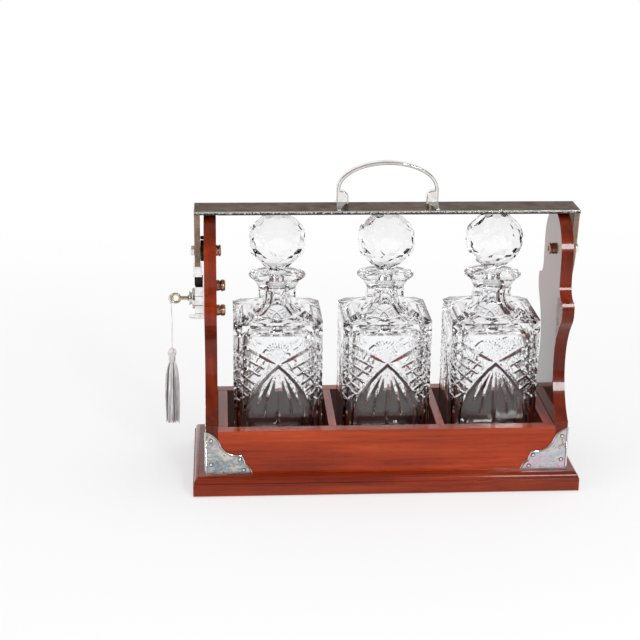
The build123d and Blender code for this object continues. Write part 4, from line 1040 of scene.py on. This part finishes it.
floor_finish.links.new(apart.outputs["Y"], far.inputs["Value"])
far.inputs["From Min"].default_value = -0.95
far.inputs["From Max"].default_value = -1.8
far.inputs["To Max"].default_value = 0.6
share = floor_finish.sum("MULTIPLY", seen, fade.outputs["Result"])
floor_finish.links.new(share, either.inputs[0])
floor_finish.links.new(floor_finish.shader.outputs["BSDF"], either.inputs[1])
floor_finish.links.new(glow.outputs["Emission"], either.inputs[2])
dark = floor_finish.nodes.new("ShaderNodeEmission")
dark.inputs["Strength"].default_value = 0.0
painted_dark_reflection = floor_finish.nodes.new("ShaderNodeMixShader")
floor_finish.links.new(floor_finish.sum("MULTIPLY", light_path.outputs["Is Glossy Ray"], far.outputs["Result"]), painted_dark_reflection.inputs[0])
floor_finish.links.new(either.outputs["Shader"], painted_dark_reflection.inputs[1])
floor_finish.links.new(dark.outputs["Emission"], painted_dark_reflection.inputs[2])
floor_finish.links.new(painted_dark_reflection.outputs["Shader"], floor_finish.nodes["Material Output"].inputs["Surface"])

world = bpy.data.worlds.new("studio")
scene.world = world
world.use_nodes = True
nodes, links = world.node_tree.nodes, world.node_tree.links
sky = nodes["Background"]
sky.inputs["Color"].default_value = (0.86, 0.86, 0.88, 1)
sky.inputs["Strength"].default_value = 0.60
direction = nodes.new("ShaderNodeTexCoord").outputs["Generated"]
apart = nodes.new("ShaderNodeSeparateXYZ")
links.new(direction, apart.inputs[0])


def banded(name, stops):
    """A background whose brightness changes with height: sine of the angle above level, and level."""
    bands = nodes.new("ShaderNodeValToRGB")
    elements = bands.color_ramp.elements
    while len(elements) < len(stops):
        elements.new(0.5)
    for element, (height, level) in zip(elements, stops):
        element.position = height
        element.color = (level, level * 0.985, level * 0.985, 1)
    links.new(apart.outputs["Z"], bands.inputs["Fac"])
    shown = nodes.new("ShaderNodeBackground")
    shown.label = name
    links.new(bands.outputs["Color"], shown.inputs["Color"])
    return shown.outputs["Background"]


def chosen(by, otherwise, when):
    pick = nodes.new("ShaderNodeMixShader")
    links.new(by, pick.inputs[0])
    links.new(otherwise, pick.inputs[1])
    links.new(when, pick.inputs[2])
    return pick.outputs["Shader"]


front_room = banded("dark room", ((0.05, 0.16), (0.50, 0.14), (0.9, 0.4)))
back_wall = banded("white paper, dim above", ((0.42, 1.0), (0.58, 0.32), (0.9, 0.4)))
through_glass = banded("what clear glass shows", ((0.25, 1.0), (0.50, 0.8), (0.75, 0.6), (0.95, 0.85)))
backward = nodes.new("ShaderNodeMapRange")
links.new(apart.outputs["Y"], backward.inputs["Value"])
backward.inputs["From Min"].default_value = -0.25
backward.inputs["From Max"].default_value = 0.15
white = nodes.new("ShaderNodeBackground")
white.inputs["Color"].default_value = (1, 1, 1, 1)
light_path = nodes.new("ShaderNodeLightPath")
mirrored = chosen(backward.outputs["Result"], front_room, back_wall)
seen = chosen(light_path.outputs["Is Glossy Ray"], sky.outputs["Background"], mirrored)
seen = chosen(light_path.outputs["Is Transmission Ray"], seen, through_glass)
seen = chosen(light_path.outputs["Is Camera Ray"], seen, white.outputs["Background"])
links.new(seen, nodes["World Output"].inputs["Surface"])


def softbox(name, place, aim, size, power):
    """A square diffuser lamp turned to face a point."""
    lamp = bpy.data.lights.new(name, "AREA")
    lamp.shape = "RECTANGLE"
    lamp.size, lamp.size_y = size
    lamp.energy = power
    made = bpy.data.objects.new(name, lamp)
    scene.collection.objects.link(made)
    made.location = place
    made.rotation_euler = (Vector(aim) - Vector(place)).to_track_quat("-Z", "Y").to_euler()
    return made


overhead = softbox("overhead", (0.2, -0.1, 1.75), (0, 0, 0.1), (1.6, 1.2), 13)
overhead.visible_glossy = False
softbox("key_softbox", (0.65, -2.0, 0.98), (0.05, 0, 0.14), (0.34, 0.55), 20)
softbox("left_window", (-1.6, -0.9, 0.9), (-0.05, 0, 0.12), (0.8, 1.0), 7)

scene.view_settings.view_transform = "Standard"
scene.cycles.max_bounces = 22
scene.cycles.transmission_bounces = 20
scene.cycles.transparent_max_bounces = 24
scene.cycles.glossy_bounces = 6
scene.cycles.diffuse_bounces = 4
scene.cycles.caustics_reflective = False
scene.cycles.caustics_refractive = False
